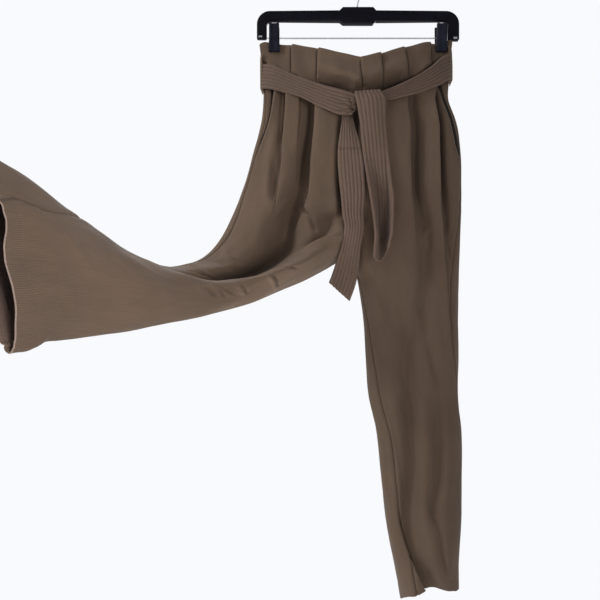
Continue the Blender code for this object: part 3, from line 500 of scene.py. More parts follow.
def creased(leg, creases, reach, turn):
    """How far the creases and the cloth's own unevenness lift each point of a leg's surface."""
    knots = leg["reach"]
    rounds = np.linspace((0, 0), (1, -1), 40).T[:, None]
    front, back = (girth(leg_points(leg, {}, knots[:, None], turns)) for turns in rounds)
    across = turn * np.where(turn > 0, along(knots, front, reach), along(knots, back, reach))
    lift = 0.0
    for a_reach, a_turn, b_reach, b_turn, bend, width, depth in zip(*creases.values()):
        around = np.interp((a_reach + b_reach) / 2, knots, front if a_turn > 0 else back)
        line = np.array([b_reach - a_reach, (b_turn - a_turn) * around])
        size = length(line)
        line = line / size
        down, side = reach - a_reach, (turn - a_turn) * around
        share = (down * line[0] + side * line[1]) / size
        off = down * line[1] - side * line[0] - bend * 4 * share * (1 - share)
        taper = smooth(share / 0.35) * smooth((1 - share) / 0.35) * ((turn >= 0) == (a_turn > 0))
        lift = lift + depth * taper * np.exp(-np.abs(off / width) ** 1.7)
    uneven = sum(high * wavy(reach, across, seed, size) for high, seed, size in (UNEVEN, FINE_UNEVEN))
    return lift + uneven * smooth(reach / 30)


def pocket_cut(pocket, reach):
    """How far round the front a slanted pocket mouth lies past the outseam."""
    return np.interp(reach, pocket["reach"], pocket["cut"])


def facing_points(leg, pocket, out_sign):
    """The pocket's facing: it fills the slant from the outseam, and runs on under the front's edge.
    Also which of its places get the painted shade of the mouth."""
    reach = np.linspace(0, pocket["reach"][-1] * FACING_END, FACING_ROWS)[:, None]
    across = np.linspace(0, 1, FACING_COLUMNS)[None]
    cut = pocket_cut(pocket, reach)
    opened = cut / pocket["cut"][0]
    turn = read(leg, "out_seam", reach) + FACING_START + (cut + FACING_UNDERLAP) * across
    points = leg_points(leg, {}, reach, turn)
    sunk = FACING_SUNK + (FACING_DEPTH + POCKET_GAPE * opened) * smooth(across / FACING_SINKS_BY)
    before_mouth = (cut / (cut + FACING_UNDERLAP) - across) * girth(points)[:, None]
    open_by = MOUTH_CLEFT + MOUTH_OPENS * opened**3
    cleft = MOUTH_DENT * smooth(opened * 6) * bell(np.maximum(before_mouth - 0.8, 0), open_by)
    shade = MOUTH_SHADE + MOUTH_STANDS_OPEN * opened**5 if out_sign > 0 else HIDDEN_MOUTH
    return moved_out(points, -out_sign * (sunk + cleft)), (before_mouth < shade) & (opened > 0.02)


# ---------------------------------------------------------------- meshes
def put(name, mesh, node):
    """Links a piece, which rides on the one body and takes a node's place."""
    piece = bpy.data.objects.new(name, mesh)
    bpy.context.scene.collection.objects.link(piece)
    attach(piece, "root")
    if node:
        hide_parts(node)
    return piece


def make_mesh(name, verts, faces, looks):
    mesh = bpy.data.meshes.new(name)
    mesh.from_pydata((np.array(verts, float) * MM).tolist(), [], faces)
    mesh.shade_smooth()
    for material in looks:
        mesh.materials.append(material)
    return mesh


def lay_cloth(mesh, places):
    """Gives a mesh its weave's coordinates, from millimetres across and down at each vertex."""
    loops = np.empty(len(mesh.loops), int)
    mesh.loops.foreach_get("vertex_index", loops)
    mesh.uv_layers.new(name="cloth").data.foreach_set("uv", (places[loops] * MM).ravel())


def shell(name, points, near, far, side, looks, node, uv=None, shaded=None):
    """A closed shell on a grid: its walls lie near and far from it, on the side that normals point
    to where side is 1. Its rim is rounded. looks are the outer and the inner material, and the third,
    if given, is a painted highlight on the rim at its foot. The outer wall shows the second one where
    it is shaded, as painted shade."""
    rows, columns = points.shape[:2]
    uv = (cloth_uv(points) if uv is None else uv).reshape(-1, 2)
    near, far = (np.broadcast_to(np.asarray(x, float), (rows, columns)) for x in (near, far))
    outer, inner = (moved_out(points, side * x).reshape(-1, 3) for x in (far, near))
    count = rows * columns
    grid = np.arange(count).reshape(rows, columns)
    edge = np.concatenate([grid[0], grid[1:, -1], grid[-1, -2::-1], grid[-2:0:-1, 0]])
    r, c = np.divmod(edge, columns)
    inward = unit(points[np.clip(r, 1, rows - 2), np.clip(c, 1, columns - 2)] - points[r, c])
    rim = (outer + inner)[edge] / 2 - inward * (far - near)[r, c][:, None] * 0.45
    quads = np.stack([grid[:-1, :-1], grid[1:, :-1], grid[1:, 1:], grid[:-1, 1:]], -1).reshape(-1, 4)
    middle = np.arange(len(edge)) + 2 * count
    after, middle_after = np.roll(edge, -1), np.roll(middle, -1)
    outer_rim = np.stack([edge, after, middle_after, middle], -1)
    inner_rim = np.stack([middle, middle_after, after + count, edge + count], -1)
    faces = np.concatenate([quads, quads[:, ::-1] + count, outer_rim, inner_rim])
    verts = np.concatenate([outer, inner, rim])
    mesh = make_mesh(name, verts, (faces if side > 0 else faces[:, ::-1]).tolist(), looks)
    lay_cloth(mesh, np.concatenate([uv, uv, uv[edge]]))
    slots = np.zeros(len(mesh.polygons), int)
    slots[len(quads) : 2 * len(quads)] = 1
    if shaded is not None:
        slots[: len(quads)] = shaded[1:, 1:].ravel()
    if len(looks) > 2:
        first = 2 * len(quads) + columns + rows - 2
        slots[first : first + columns - 1] = 2
    mesh.polygons.foreach_set("material_index", slots)
    return put(name, mesh, node)


# ---------------------------------------------------------------- materials
def fill(tree, node, inputs):
    """Fills a node's inputs, by a link where a value is a socket. Returns its first output."""
    for name, value in inputs.items():
        if isinstance(value, bpy.types.NodeSocket):
            tree.links.new(value, node.inputs[name])
        else:
            node.inputs[name].default_value = value
    return node.outputs[0]


def add(tree, kind, inputs):
    return fill(tree, tree.nodes.new("ShaderNode" + kind), inputs)


def noise(tree, vector, scale, detail=2.0, rough=0.5, stretch=(1, 1, 1)):
    """A noise texture on stretched coordinates."""
    placed = add(tree, "Mapping", {"Vector": vector, "Scale": stretch})
    return add(tree, "TexNoise", {"Vector": placed, "Scale": scale, "Detail": detail, "Roughness": rough})


def times_plus(tree, a, b, c=0.0, clamp=False):
    """a times b, plus c, for sockets or numbers."""
    made = tree.nodes.new("ShaderNodeMath")
    made.operation, made.use_clamp = "MULTIPLY_ADD", clamp
    return fill(tree, made, {0: a, 1: b, 2: c})


def ramp(tree, value, *stops):
    made = tree.nodes.new("ShaderNodeValToRGB")
    for element, (place, colour) in zip(made.color_ramp.elements, stops):
        element.position, element.color = place, (*colour, 1)
    return fill(tree, made, {"Fac": value})


def relief(tree, height, strength, distance):
    return add(tree, "Bump", {"Height": height, "Strength": strength, "Distance": distance})


def tinted(colour, amount):
    return tuple(channel * amount for channel in colour)


LINES = 150.0  # the wave texture's scale for lines about 2 mm apart


def look(name, recipe, *choices):
    """A material: its recipe gives the shader's inputs."""
    made = bpy.data.materials.new(name)
    made.use_nodes = True
    tree = made.node_tree
    places = tree.nodes.new("ShaderNodeTexCoord").outputs
    fill(tree, tree.nodes["Principled BSDF"], recipe(tree, places["UV"], places["Object"], *choices))
    return made


def cloth(tree, uv, body, colour, stripe=0.2, bump=0.35):
    """Woven cloth: fine lengthwise lines that come and go, slubs, a weave, and an uneven dye."""
    lines = tree.nodes.new("ShaderNodeTexWave")
    lines.bands_direction = "X"
    fill(tree, lines, {"Vector": uv, "Scale": LINES, "Distortion": 0.6, "Detail": 1.0})
    shows = times_plus(tree, noise(tree, body, 13.0), noise(tree, uv, 1.0, 1.0, 0.5, (60, 14, 1)))
    line = times_plus(tree, lines.outputs["Fac"], times_plus(tree, shows, 2.4))
    slub = noise(tree, uv, 1.0, 3.0, 0.6, (700, 30, 1))
    weave = noise(tree, uv, 1.0, 2.0, 0.6, (1900, 1500, 1))
    dye = noise(tree, body, 9.0, 3.0, 0.55)
    value = 0.0
    for part, share in ((line, stripe), (slub, 0.36), (weave, 0.16), (dye, 0.42)):
        value = times_plus(tree, part, share, value)
    middle = 0.3 * stripe + 0.47
    colours = ramp(tree, value, (middle - 0.2, tinted(colour, 0.82)), (middle + 0.2, tinted(colour, 1.16)))
    height = times_plus(tree, line, 0.6, times_plus(tree, weave, 0.6))
    return {
        "Base Color": colours, "Normal": relief(tree, height, bump, 0.0006), "Roughness": 0.86,
        "Specular IOR Level": 0.16, "Sheen Weight": 0.05, "Sheen Roughness": 0.5,
    }


def plastic(tree, _, body, colour):
    """Moulded plastic: near black, slightly blue, with faint scuffs in its gloss."""
    scuffs = noise(tree, body, 60.0, 4.0, 0.65)
    return {
        "Base Color": ramp(tree, scuffs, (0.35, tinted(colour, 0.7)), (0.75, tinted(colour, 1.5))),
        "Roughness": times_plus(tree, scuffs, 0.25, 0.30), "Specular IOR Level": 0.07,
        "Normal": relief(tree, noise(tree, body, 900.0), 0.08, 0.0003),
    }


def steel(tree, _, body):
    """Plated wire: bright, with a faint drawn grain."""
    grain = noise(tree, body, 400.0, 3.0, 0.6, (1, 1, 4))
    colours = ramp(tree, grain, (0.3, (0.45, 0.45, 0.46)), (0.7, (0.66, 0.66, 0.66)))
    return {"Base Color": colours, "Roughness": times_plus(tree, grain, 0.2, 0.16), "Metallic": 1.0}


def pale(tree, _, body, colour):
    colours = ramp(tree, noise(tree, body, 3.0, 3.0), (0.3, tinted(colour, 0.97)), (0.7, colour))
    return {"Base Color": colours, "Roughness": 0.9}


BROWN = look("brown_cloth", cloth, (0.076, 0.0505, 0.0345), 0.45)
# painted light: the cloth's inside is a paler copy of the brown, standing in for light that reaches in
# past the hem
BROWN_INSIDE_PAINTED_LIGHT = look("brown_cloth_inside_painted_light", cloth, (0.098, 0.066, 0.053))
BELT_BROWN = look("belt_cloth", cloth, (0.077, 0.0505, 0.0375))
# painted shade: near-black cloth standing in for the shade inside the pocket mouths
POCKET_PAINTED_SHADE = look("pocket_cloth", cloth, (0.010, 0.008, 0.007))
# painted highlight: a pale copy of the cloth on the hem's rim, for the light that the edge catches
HEM_PAINTED_HIGHLIGHT = look("hem_edge_painted_highlight", cloth, (0.19, 0.14, 0.118))
THREAD = look("thread", cloth, (0.062, 0.042, 0.032), 0.1, 0.1)
PLASTIC = look("black_plastic", plastic, (0.0016, 0.0016, 0.0040))
CLIP_PLASTIC = look("clip_plastic", plastic, (0.0085, 0.0098, 0.0165))
WORN_PLASTIC = look("worn_plastic", plastic, (0.20, 0.21, 0.21))
STEEL = look("steel", steel)
PALE = look("pale_floor", pale, (0.86, 0.86, 0.855))


# ---------------------------------------------------------------- the legs
def row_reaches(dense):
    """Rows down a leg, closest together between the reaches where its creases are small."""
    body = HEM_REACH - HEM_DEPTH - 4
    spans = zip((0, *dense), (*dense, body), (5.2, 2.9, 1.9, 5.6))
    rows = [np.linspace(a, b, round((b - a) / gap), endpoint=False) for a, b, gap in spans]
    return np.concatenate([*rows, np.linspace(body + 1.4, HEM_REACH, 24)])


def front_grid(leg, folds, seams, counts, reach):
    """A front panel's turns, with columns on both sides of each pleat's step."""
    closed, width = closing(reach), length(leg_frame(leg, reach)[1])
    lines = []
    for steep, fold in folds.values():
        if steep and fold["reach"][0] == 0:
            line = read(fold, "share", reach)
            lines += [turn_at(line, closed), turn_at(line - steep * PLEAT_STEP / width, closed)]
    lines = np.sort(np.stack(lines, -1), axis=-1)
    lines = np.maximum(lines, seams[0][:, None] + 0.015 * np.arange(1, lines.shape[1] + 1))
    return spread(np.column_stack([seams[0], lines, seams[1]]), counts)


# Each leg's tables, where its rows are dense, its front's columns, which side of its grid is out and
# how far its pocket mouth's edge lifts.
LEGS = {
    "swung": (
        (SWUNG, SWUNG_FOLDS, SWUNG_CREASES, SWUNG_POCKET, SWUNG_HEM),
        (180, 425, 565), (18, 4, 18, 4, 26, 4, 62), 1, 4.5,
    ),
    "hanging": (
        (HANGING, HANGING_FOLDS, HANGING_CREASES, HANGING_POCKET, HANGING_HEM),
        (200, 420, 530), (18, 4, 46, 4, 66), -1, 0.4,
    ),
}


def make_legs():
    """The panels and pocket facings. Returns each front with what its stitching needs."""
    hem_start = HEM_REACH - HEM_DEPTH
    fronts = {}
    for leg_name, (tables, dense, counts, sign, mouth_lift) in LEGS.items():
        leg, folds, creases, pocket, hem_line = tables
        reach = row_reaches(dense)
        down = reach[:, None]
        near = SHELL_OUT - (HEM_CLOTH - SHELL) * smooth((down - hem_start) / 1.6)
        folds = set_back(leg, folds)
        outer, inner = read(leg, "out_seam", reach), 1 - read(leg, "in_seam", reach)
        front = front_grid(leg, folds, (outer + pocket_cut(pocket, reach), inner), counts, reach)
        back = spread(np.column_stack([outer, inner - 2]), (110,))
        for side, turns, outward in (("front", front, sign), ("back", back, -sign)):
            short = np.interp(np.where(turns < -1, turns + 2, turns), hem_line["turn"], hem_line["short"])
            raised = down - short * smooth((down - HEM_RAISED_FROM) / HEM_RAISED_OVER)
            points = drawn_in(leg_points(leg, folds, raised, turns, lapped=True), PANEL_GAP)
            from_start = run_along(points)
            edge = np.minimum(from_start, from_start[:, -1:] - from_start)
            seam = hump(edge, *SEAM_RIDGE) - hump(edge, *SEAM_DIP)
            lift = creased(leg, creases, raised, turns) - hump(down - hem_start, *HEM_DIP)
            if side == "front":
                opened = pocket_cut(pocket, down) / pocket["cut"][0]
                lift = lift + opened * hump(from_start, mouth_lift, 9)
            points = moved_out(points, outward * (lift * (0.25 + 0.75 * smooth(edge / 5)) + seam))
            # the swung leg's hem rim gets the painted highlight
            looks = (BROWN, BROWN_INSIDE_PAINTED_LIGHT, HEM_PAINTED_HIGHLIGHT) if leg_name == "swung" else (BROWN, BROWN_INSIDE_PAINTED_LIGHT)
            node = f"{side}_panel_{leg_name}_leg"
            piece = shell(f"{side}_{leg_name}", points, near, ON_CLOTH, outward, looks, node)
            if side == "front":
                fronts[leg_name] = (piece, points, from_start, reach, outward, pocket["reach"][-1])
        facing, shaded = facing_points(leg, pocket, sign)
        facing = moved_out(facing, sign * FACING_UNEVEN * wavy(facing[..., 2], facing[..., 0], 8))
        # the facing's inner wall, and its outer wall along the mouth, show painted shade
        piece = shell(
            f"facing_{leg_name}", facing, -SHELL, 0, sign, (BROWN, POCKET_PAINTED_SHADE),
            f"pocket_facing_{leg_name}_leg", shaded=shaded,
        )
    return fronts


def thread_piece(name, ends):
    """Many short threads in one mesh. ends is a list of two points each and the way out of the cloth."""
    sides, rings = 5, 4
    turn = np.linspace(0, 2 * np.pi, sides, endpoint=False)
    verts, faces = [], []
    for a, b, out in ends:
        run = unit(b - a)
        up = unit(out - run * (out @ run))
        ring = np.cos(turn)[:, None] * np.cross(run, up) + np.sin(turn)[:, None] * up
        first = len(verts)
        for t in np.linspace(0, 1, rings):
            arch = 4 * t * (1 - t)
            verts += list(a + (b - a) * t + up * STITCH_SAG * (arch - 0.35) + (0.24 + 0.1 * arch) * ring)
        for base in range(first, len(verts) - sides, sides):
            for k in range(sides):
                j = (k + 1) % sides
                faces.append((base + k, base + j, base + sides + j, base + sides + k))
        faces.append(tuple(range(len(verts) - sides, len(verts))))
        faces.append(tuple(range(first + sides - 1, first - 1, -1)))
    return put(name, make_mesh(name, verts, faces, [THREAD]), None)


def make_stitching(fronts):
    """Topstitching along the pocket mouths, and a bar tack at the foot of each."""
    made, rows = {}, 60  # of a front's rows, those that the mouth crosses
    for leg_name, (_, points, from_start, reach, outward, end) in fronts.items():

        def beside_mouth(array, inset, at):
            line = [on_line(inset, *row) for row in zip(from_start[:rows], array)]
            return on_line(at, reach[:rows], np.array(line))

        normal = normals(points) * outward
        fine = np.linspace(2, end, 2000)
        line, out = (beside_mouth(array, STITCHES_INSET, fine) for array in (points, normal))
        run = run_along(line[None])[0]
        marks = np.arange(0, run[-1] - 3, STITCH_PITCH)
        a, b, up = on_line(marks, run, line), on_line(marks + STITCH, run, line), on_line(marks, run, out)
        ends = [*zip(a + up * ON_CLOTH, b + up * ON_CLOTH, up)]
        marks = end - 4 + TACK_PITCH * np.arange(TACK_STITCHES)
        a, b, up = (beside_mouth(*row, marks) for row in ((points, 1.0), (points, 5.5), (normal, 3.0)))
        proud = up * (ON_CLOTH + TACK_PROUD)
        ends += zip(a + proud, b + proud, up)
        made[leg_name] = thread_piece(f"pocket_stitching_{leg_name}", ends)
    return made


# ---------------------------------------------------------------- the waistband
def belt_edges(stretch, degrees, mirror):
    """The belt's two edges at these angles round the waist: mirror is -1 for angles from the left."""
    angle = np.radians(degrees)
    half = np.where(np.cos(angle) * mirror > 0, BELT_HALF_RIGHT, BELT_HALF_LEFT)
    x = BELT_CENTRE - half * np.cos(angle) * mirror
    return [
        np.stack([x, -read(stretch, stands, degrees) * np.sin(angle), read(stretch, edge, degrees)], -1)
        for stands, edge in (("upper", "top"), ("lower", "bottom"))
    ]


def sunk_behind_belt(points, outward):
    """How far the belt draws the band in above its own top edge, most of all beside the knot."""
    stretch = BELT_RIGHT if outward > 0 else BELT_LEFT
    top, _ = belt_edges(stretch, np.linspace(stretch["turn"][0], stretch["turn"][-1], 60), outward)
    order = np.argsort(top[:, 0])
    x = points[..., 0]
    above = points[..., 2] - np.interp(x, top[order, 0], top[order, 2])
    beside_knot = smooth((110 - np.abs(x - BELT_CENTRE)) / 70)
    drawn = hump(above, *DRAWN_BEHIND_BELT)
    between = smooth(1.5 * np.cos(2 * np.pi * (x - PLEAT_AT) / PLEAT_PITCH))
    gaping = np.where(x < GAPES_FROM, between, smooth((150 - x) / 25))
    seen = above - SIGHT_CLIMBS * (4 + beside_knot * drawn)
    return beside_knot * (drawn - hump(above, *SWELLS_ABOVE_BELT)) + gaping * hump(seen, *BELT_GAP)


def trunk_back(share):
    """The waist seam round the back: share runs from the right side to the left side."""
    right, left = (
        leg_points(leg, {}, 0, -turn_at(np.clip(part, 0, 1), 0))
        for leg, part in ((SWUNG, share * 2), (HANGING, 2 - share * 2))
    )
    return np.where((share < 0.5)[..., None], right, left)


def make_band(side, top, leg, steps, outward):
    """A stretch of the paperbag band: rows from its top edge to the waist seam, columns from the side."""
    width, forward = np.ptp(top["x"]), -1 if leg else 1
    drop = np.linspace(0, 1, BAND_ROWS)[:, None]
    lines = [start + (end - start) * drop for start, end in steps]
    even = [0 * drop + share for share in (0, 1 - CENTRE_TUCK / width, 1)]
    knots = np.sort(np.hstack(even + lines + [line - PLEAT_STEP / width for line in lines]), axis=1)
    share = spread(knots, [max(3, round((110 if leg else 170) * gap)) for gap in np.diff(knots[0])])
    upper = read(top, "x y z", share)
    lower = leg_points(leg, {}, 0, turn_at(share, 0)) if leg else trunk_back(share)
    lower = lower + np.array([0, 0, BAND_GAP])
    gathered = np.clip(drop / BAND_DRAWN_BY, 0, 1)
    deepened = smooth((drop - BAND_UPRIGHT_TO) / (1 - BAND_UPRIGHT_TO))
    points = upper + (lower - upper) * np.stack([gathered, deepened, drop], -1)
    push = lap = tuck = 0
    for line in lines:
        beyond = (share - line) * width
        push = push + np.where(beyond > 0, bell(beyond, BAND_STEP_REACH), 1 - smooth(-beyond / PLEAT_STEP))
        lap = lap + np.where(beyond >= 0, bell(beyond, 6), np.clip(1 + beyond / PLEAT_STEP, 0, 1))
        tuck = tuck + hump(beyond + BAND_LAP + 0.8, *BAND_TUCK)
    points[..., 1] += forward * BAND_STEP * push
    points = points - unit(np.gradient(points, axis=1)) * BAND_LAP * lap[..., None]
    points[..., 1] -= forward * tuck * smooth(drop / 0.12)
    points[..., 2] += 0.6 * push * (1 - drop) ** 2
    if leg:
        tucked = smooth((share * width - width + CENTRE_TUCK) / CENTRE_TUCK)
        points[..., 1] += CENTRE_TUCK_DEPTH * tucked * smooth(drop * 4)
        points[..., 1] += sunk_behind_belt(points, outward)
    x, z = points[..., 0], points[..., 2]
    low, high = (end + 0.6 * np.sign(end) * np.maximum(z - up_to, 0) for end, up_to in BAND_SIDES)
    points[..., 0] = np.clip(x, low, high)
    uv = cloth_uv(points)
    held = bell(np.abs(points[..., 0]) - CLIP_X, 16) * (1 - smooth(drop * 2.2))
    uneven = BAND_UNEVEN * wavy(uv[..., 1], uv[..., 0], 21 + outward, 34.0)
    points = moved_out(points, outward * uneven * (1 - held) * smooth((z + 250) / 60))
    far = 0.15 + 1.5 * np.minimum(smooth(drop / 0.05 + 0.35), 1.0)
    looks = (BROWN, BROWN_INSIDE_PAINTED_LIGHT)
    piece = shell(f"band_{side}", points, 0.15, far, outward, looks, f"waist_band_{side}", uv=uv)


# ---------------------------------------------------------------- the belt
def ribbed(name, edge_a, edge_b, bow, outward, node, seed, ruffle=0.8, pinch=None, droop=0, pressed=None):
    """A stretch of the belt: seven stitched channels, dented along their stitches. Where bow is below
    0 it is a gutter. pinch is the x and z that folds gather to, droop lowers its far end's middle, and
    pressed is how far down a pressed fold crosses it."""
    run = np.gradient((edge_a + edge_b) / 2, axis=0)
    out = unit(np.cross(run, edge_b - edge_a) * outward)[:, None]
    share = np.linspace(0, 1, BELT_CHANNELS * 9 + 1)
    bow = np.broadcast_to(np.asarray(bow, float), len(edge_a))[:, None, None]
    arched = 4 * share * (1 - share)
    gutter = smooth((share - 0.06) / 0.4) * (1 - smooth((share - 0.88) / 0.1))
    points = edge_a[:, None] + (edge_b - edge_a)[:, None] * share[:, None]
    points = points + out * bow * np.where(bow < 0, gutter[:, None], arched[:, None])
    last = smooth((np.arange(len(edge_a)) - len(edge_a) + 18) / 18)
    points[..., 2] -= droop * last[:, None] * arched
    uv = cloth_uv(points)
    down = uv[..., 1]
    channel = np.clip(np.floor(share * BELT_CHANNELS), 0, BELT_CHANNELS - 1)
    phase = np.random.default_rng(seed).uniform(0, 6, BELT_CHANNELS + 1)
    stitch = np.sin(2 * np.pi * down / BELT_STITCH + phase[np.round(share * BELT_CHANNELS).astype(int)])
    arch = np.abs(np.sin(np.pi * BELT_CHANNELS * share)) ** 0.6
    rib = BELT_RIB * (1.7 * arch - 0.9 * (1 - arch) * (0.6 + 0.4 * stitch))
    pucker = BELT_PUCKER * wavy(down, share * BELT_WIDTH + 9 * channel, seed + 1, 9.0) * arch
    sway = ruffle * wavy(down, 0 * down, seed + 2, 26.0, 5) * np.abs(2 * share - 1) ** 3
    sway = sway + BELT_SWAY * wavy(down, share * BELT_WIDTH, seed + 3, 50.0)
    points = points + out * (sway * smooth(down / 12) * smooth((down[-1] - down) / 12))[..., None]
    if pressed:
        points = points - out * hump(down - pressed, *BELT_FOLD)[..., None]
    if pinch:
        x, z = points[..., 0] - pinch[0], points[..., 2] - pinch[1]
        away = np.hypot(x, z)
        gathers = np.sin(9 * np.arctan2(z, x) + 0.6) * np.exp(-away / 16) * smooth(away / 5)
        points = points + out * (KNOT_GATHERS * gathers - hump(away, *KNOT_DENT))[..., None]
    looks = (BELT_BROWN, BELT_BROWN)
    return shell(name, points, 0.1, BELT_CLOTH + rib + pucker, outward, looks, node, uv=uv[..., ::-1])


def make_belt():
    loops = make_loops()
    for side, stretch, mirror, rows, along_waist in (
        ("right", BELT_RIGHT, 1, 110, 0.17),
        ("left", BELT_LEFT, -1, 110, 0.17),
        ("back", BELT_BACK, 1, 190, 0.36),
    ):
        degrees = np.linspace(stretch["turn"][0], stretch["turn"][-1], rows)
        top, bottom = drawn_in(np.stack(belt_edges(stretch, degrees, mirror)), SEAM_GAP / 2)
        pinch = KNOT_PINCH if side == "right" else None
        seed = 31 + rows + mirror
        piece = ribbed(f"belt_strip_{side}", top, bottom, 0, -mirror, f"belt_{side}", seed, pinch=pinch)
    knot = make_knot()
    for name, tail, seed, droop, pressed, tied in (
        ("short", SHORT_TAIL, 51, 0, 70, ()), ("long", LONG_TAIL, 61, 17, None, [knot]),
    ):
        rows = np.arange(len(tail["bow"]))
        at = np.linspace(0, rows[-1], 150)
        numbered = {"row": rows, **tail}
        a, b, bow = (read(numbered, columns, at) for columns in ("a_x a_y a_z", "b_x b_y b_z", "bow"))
        node = f"belt_{name}_tail"
        piece = ribbed(f"tail_{name}", a, b, bow, 1, node, seed, 0.5, droop=droop, pressed=pressed)


def make_loops():
    made = {}
    for side, route, front, half, outward in (
        ("right", LOOP_RIGHT, 6.5, BELT_HALF_RIGHT, 1), ("left", LOOP_LEFT, 10, BELT_HALF_LEFT, -1),
    ):
        route = np.array([(x, 0, z) for x, z in route])
        at = np.linspace(0, len(route) - 1, 50)
        middle = on_line(at, range(len(route)), route)
        across = np.linspace(-front, 2.5, 21)
        wrapped = half * (1 - np.sqrt(1 - (across / 34) ** 2)) * outward
        points = middle[:, None] + np.stack([wrapped, across, 0 * across], -1)
        dent = 0.22 * bell(np.abs(across - across.mean()) - (front + 2.5) / 2 + 1.2, 0.5)
        looks = (BROWN, BROWN)
        made[side] = [shell(f"loop_{side}", points, -0.7, 0.7 - dent, outward, looks, f"belt_loop_{side}")]
    return made


def make_knot():
    """The knot's lump of ribbed cloth, behind the long tail's fold."""
    ball = bmesh.new()
    bmesh.ops.create_uvsphere(ball, u_segments=72, v_segments=36, radius=0.5)
    points = np.array([vertex.co for vertex in ball.verts])
    faces = [[vertex.index for vertex in face.verts] for face in ball.faces]
    ball.free()
    x, z = points[:, 0], points[:, 2]
    rib = 1 + 0.05 * np.abs(np.sin(7 * np.pi * x)) + 0.03 * np.sin(21 * z + 8 * x)
    points[:, 1:] *= rib[:, None]
    points = points * KNOT_SIZE + KNOT
    mesh = make_mesh("knot", points, faces, [BELT_BROWN])
    lay_cloth(mesh, points[:, ::2])
    return put("knot", mesh, "belt_knot")


# ---------------------------------------------------------------- the hanger
def inset(outline, by):
    """A closed outline drawn in by a distance, mitred at its corners. It runs round leftwards."""
    after = unit(np.roll(outline, -1, axis=0) - outline)
    inward = np.stack([-after[:, 1], after[:, 0]], -1)
    before = np.roll(inward, 1, axis=0)
    mitre = (inward + before) / (1 + (inward * before).sum(-1, keepdims=True))
    return outline + mitre * by


def lofted(name, rings, node, material, patches=()):
    """A moulded piece: a skin through its rings, closed at both ends. patches are small worn plates
    let into it, as the corners of each."""
    rings = np.array(rings)
    stacks, around = rings.shape[:2]
    verts = list(rings.reshape(-1, 3))
    faces = [tuple(range(around - 1, -1, -1)), tuple(range((stacks - 1) * around, stacks * around))]
    for base in range(0, (stacks - 1) * around, around):
        for k in range(around):
            j = (k + 1) % around
            faces.append((base + k, base + j, base + around + j, base + around + k))
    worn = len(faces)
    for low, high in patches:
        base = len(verts)
        verts += [np.where(at, high, low) for at in np.ndindex(2, 2, 2)]
        box = ((0, 1, 3, 2), (4, 6, 7, 5), (0, 4, 5, 1), (2, 3, 7, 6), (0, 2, 6, 4), (1, 5, 7, 3))
        faces += [tuple(base + v for v in face) for face in box]
    mesh = make_mesh(name, verts, faces, (material, WORN_PLASTIC))
    turned = bmesh.new()
    turned.from_mesh(mesh)
    bmesh.ops.recalc_face_normals(turned, faces=turned.faces)
    turned.to_mesh(mesh)
    turned.free()
    mesh.polygons.foreach_set("material_index", (np.arange(len(faces)) >= worn).astype(int))
    mesh.set_sharp_from_angle(angle=math.radians(28))
    return put(name, mesh, node)


def corner(x, z, radius, start, end, steps=14):
    angle = np.radians(np.linspace(start, end, steps))
    return [(x + radius * math.cos(a), z + radius * math.sin(a)) for a in angle]


def make_bar():
    """The hanger's bar, with its two arms and the chamfered plate in its middle."""
    plate_top = [(31.3, -70.4), (26.1, -64.6), (-26.6, -64.6), (-32.9, -70.4)]
    plate_foot = [(-32.9, -88), (-26.6, -92.8), (26.1, -92.8), (31.3, -88)]
    outline = np.array(
        [(176.4, -120)] + corner(153.4, -93.4, 23, 0, 90) + plate_top + corner(-153.8, -93.4, 23, 90, 180)
        + [(-176.8, -117.6), (-175.4, -119.1), (-161, -119.1), (-159.5, -117.6)]
        + corner(-150.5, -97, 9, 180, 90, 8) + plate_foot + corner(148, -97, 9, 90, 0, 8)
        + [(157, -120), (158.5, -121.5), (175, -121.5)]
    )
    thick = np.where(np.abs(outline[:, 0]) < 33, 6.6, 4.4)
    front = [
        np.insert(inset(outline, by), 1, back - thick, axis=1)
        for by, back in ((1.7, 0), (0.9, 0.15), (0.25, 0.75), (0, 1.6))
    ]
    rings = front + [ring * (1, -1, 1) for ring in front[::-1]]
    plates = [((-173.6, -4.6, -117), (-167.6, -4.3, -114)), ((166, -4.6, -119.6), (172.4, -4.3, -116.2))]
    lofted("hanger_bar_moulded", rings, "hanger_bar", PLASTIC, plates)


def make_jaws():
    """The clips' jaws: channels with two ribs down their outsides, wider at the foot."""
    half = [(9, -0.7), (8.6, -0.2), (8.0, 0), (6.4, 0), (6.0, 0.8), (4.9, 0.8), (4.4, -0.9)]
    half = [(8.4, -4.4), (9, -3.9)] + half
    section = np.array(half + [(-x, y) for x, y in half[::-1]])
    stations = (
        (-94.6, 0.93, 0.9), (-95.4, 0.98, 0.15), (-124, 1, 0), (-129, 1.07, 0), (-141.4, 1.07, 0),
        (-142.4, 1.0, 0.7),
    )
    for side, x in (("right", -146.4), ("left", 145.0)):
        for face, sign in (("front", -1), ("back", 1)):
            rings = []
            for z, wide, drawn in stations:
                stands = 7.3 + 4.3 * (z + 141.5) / 52 - np.where(section[:, 1] > -2, drawn, 0)
                ring = np.column_stack([x + section[:, 0] * wide, sign * (stands + section[:, 1])])
                rings.append(np.insert(ring, 2, z, axis=1))
            lofted(f"jaw_{side}_{face}", rings, f"clip_{side}_{face}_jaw", CLIP_PLASTIC)


# ---------------------------------------------------------------- stage, light and camera
def area_light(name, place, target, size, power, colour, spread=180):
    data = bpy.data.lights.new(name, "AREA")
    data.spread = math.radians(spread)
    data.size, data.energy, data.color = size, power, colour
    made = bpy.data.objects.new(name, data)
    made.location = place
    aim = np.array(target, float) - place
    made.rotation_euler = (math.atan2(math.hypot(aim[0], aim[1]), -aim[2]), 0, math.atan2(-aim[0], aim[1]))
    bpy.context.scene.collection.objects.link(made)


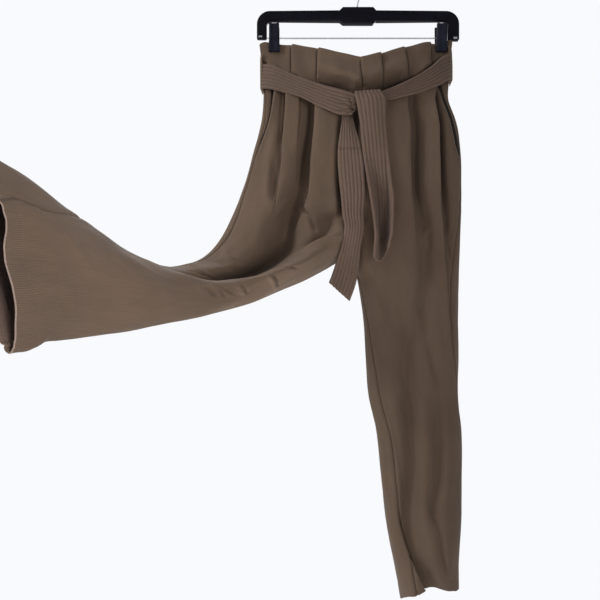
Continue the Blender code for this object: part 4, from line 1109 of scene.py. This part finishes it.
def make_stage():
    scene = bpy.context.scene
    corners = [(x, y, -1300) for x, y in ((-6000, -6000), (6000, -6000), (6000, 300), (-6000, 300))]
    mesh = make_mesh("floor", corners, [(0, 1, 2, 3)], [PALE])
    floor = bpy.data.objects.new("floor", mesh)
    scene.collection.objects.link(floor)
    area_light("key", (-3.1, -1.15, 1.0), (-0.1, 0, -0.55), 0.9, 80, (1, 0.985, 0.96))
    area_light("fill", (0.85, -1.75, -0.6), (-0.36, -0.4, -0.53), 0.6, 2.2, (1, 0.98, 0.96), 36)
    area_light("behind", (1.3, 2.6, 0.6), (-0.05, 0, -0.6), 0.9, 32, (1, 0.99, 0.97))
    area_light("above", (-1.25, -0.45, 0.55), (-0.38, -0.45, -0.45), 0.4, 1.6, (1, 0.97, 0.97), 40)
    area_light("below", (-0.3, -0.42, -1.27), (-0.1, -0.1, -0.5), 0.2, 0.22, (1, 0.97, 0.93), 24)
    scene.view_settings.view_transform = "Standard"
    scene.world = bpy.data.worlds.new("studio")
    scene.world.use_nodes = True
    tree = scene.world.node_tree
    way = tree.nodes.new("ShaderNodeSeparateXYZ")
    fill(tree, way, {"Vector": tree.nodes.new("ShaderNodeTexCoord").outputs["Generated"]})
    in_front = times_plus(tree, way.outputs["Y"], -4.0, 1.0, clamp=True)
    sided = times_plus(tree, way.outputs["X"], -0.38, -0.13)
    bright = times_plus(tree, sided, in_front, 0.98)
    fill(tree, tree.nodes["Background"], {"Color": (0.965, 0.975, 1, 1), "Strength": bright})
    data = bpy.data.cameras.new("camera")
    data.lens = 36 / (2 * 0.525)
    camera = bpy.data.objects.new("camera", data)
    camera.location = (-0.1015, -1.0, -0.57475)
    camera.rotation_euler = (math.pi / 2, 0, 0)
    scene.collection.objects.link(camera)
    scene.camera = camera


make_stage()
fronts = make_legs()
stitching = make_stitching(fronts)
make_band("right", BAND_TOP_RIGHT, SWUNG, BAND_STEPS_RIGHT, 1)
make_band("left", BAND_TOP_LEFT, HANGING, BAND_STEPS_LEFT, -1)
make_band("back", BAND_TOP_BACK, None, BAND_STEPS_BACK, -1)
make_belt()
make_bar()
make_jaws()
for name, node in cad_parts.items():
    if name.endswith(("hook", "wire", "spring")):
        for material_slot in node.material_slots:
            material_slot.material = STEEL
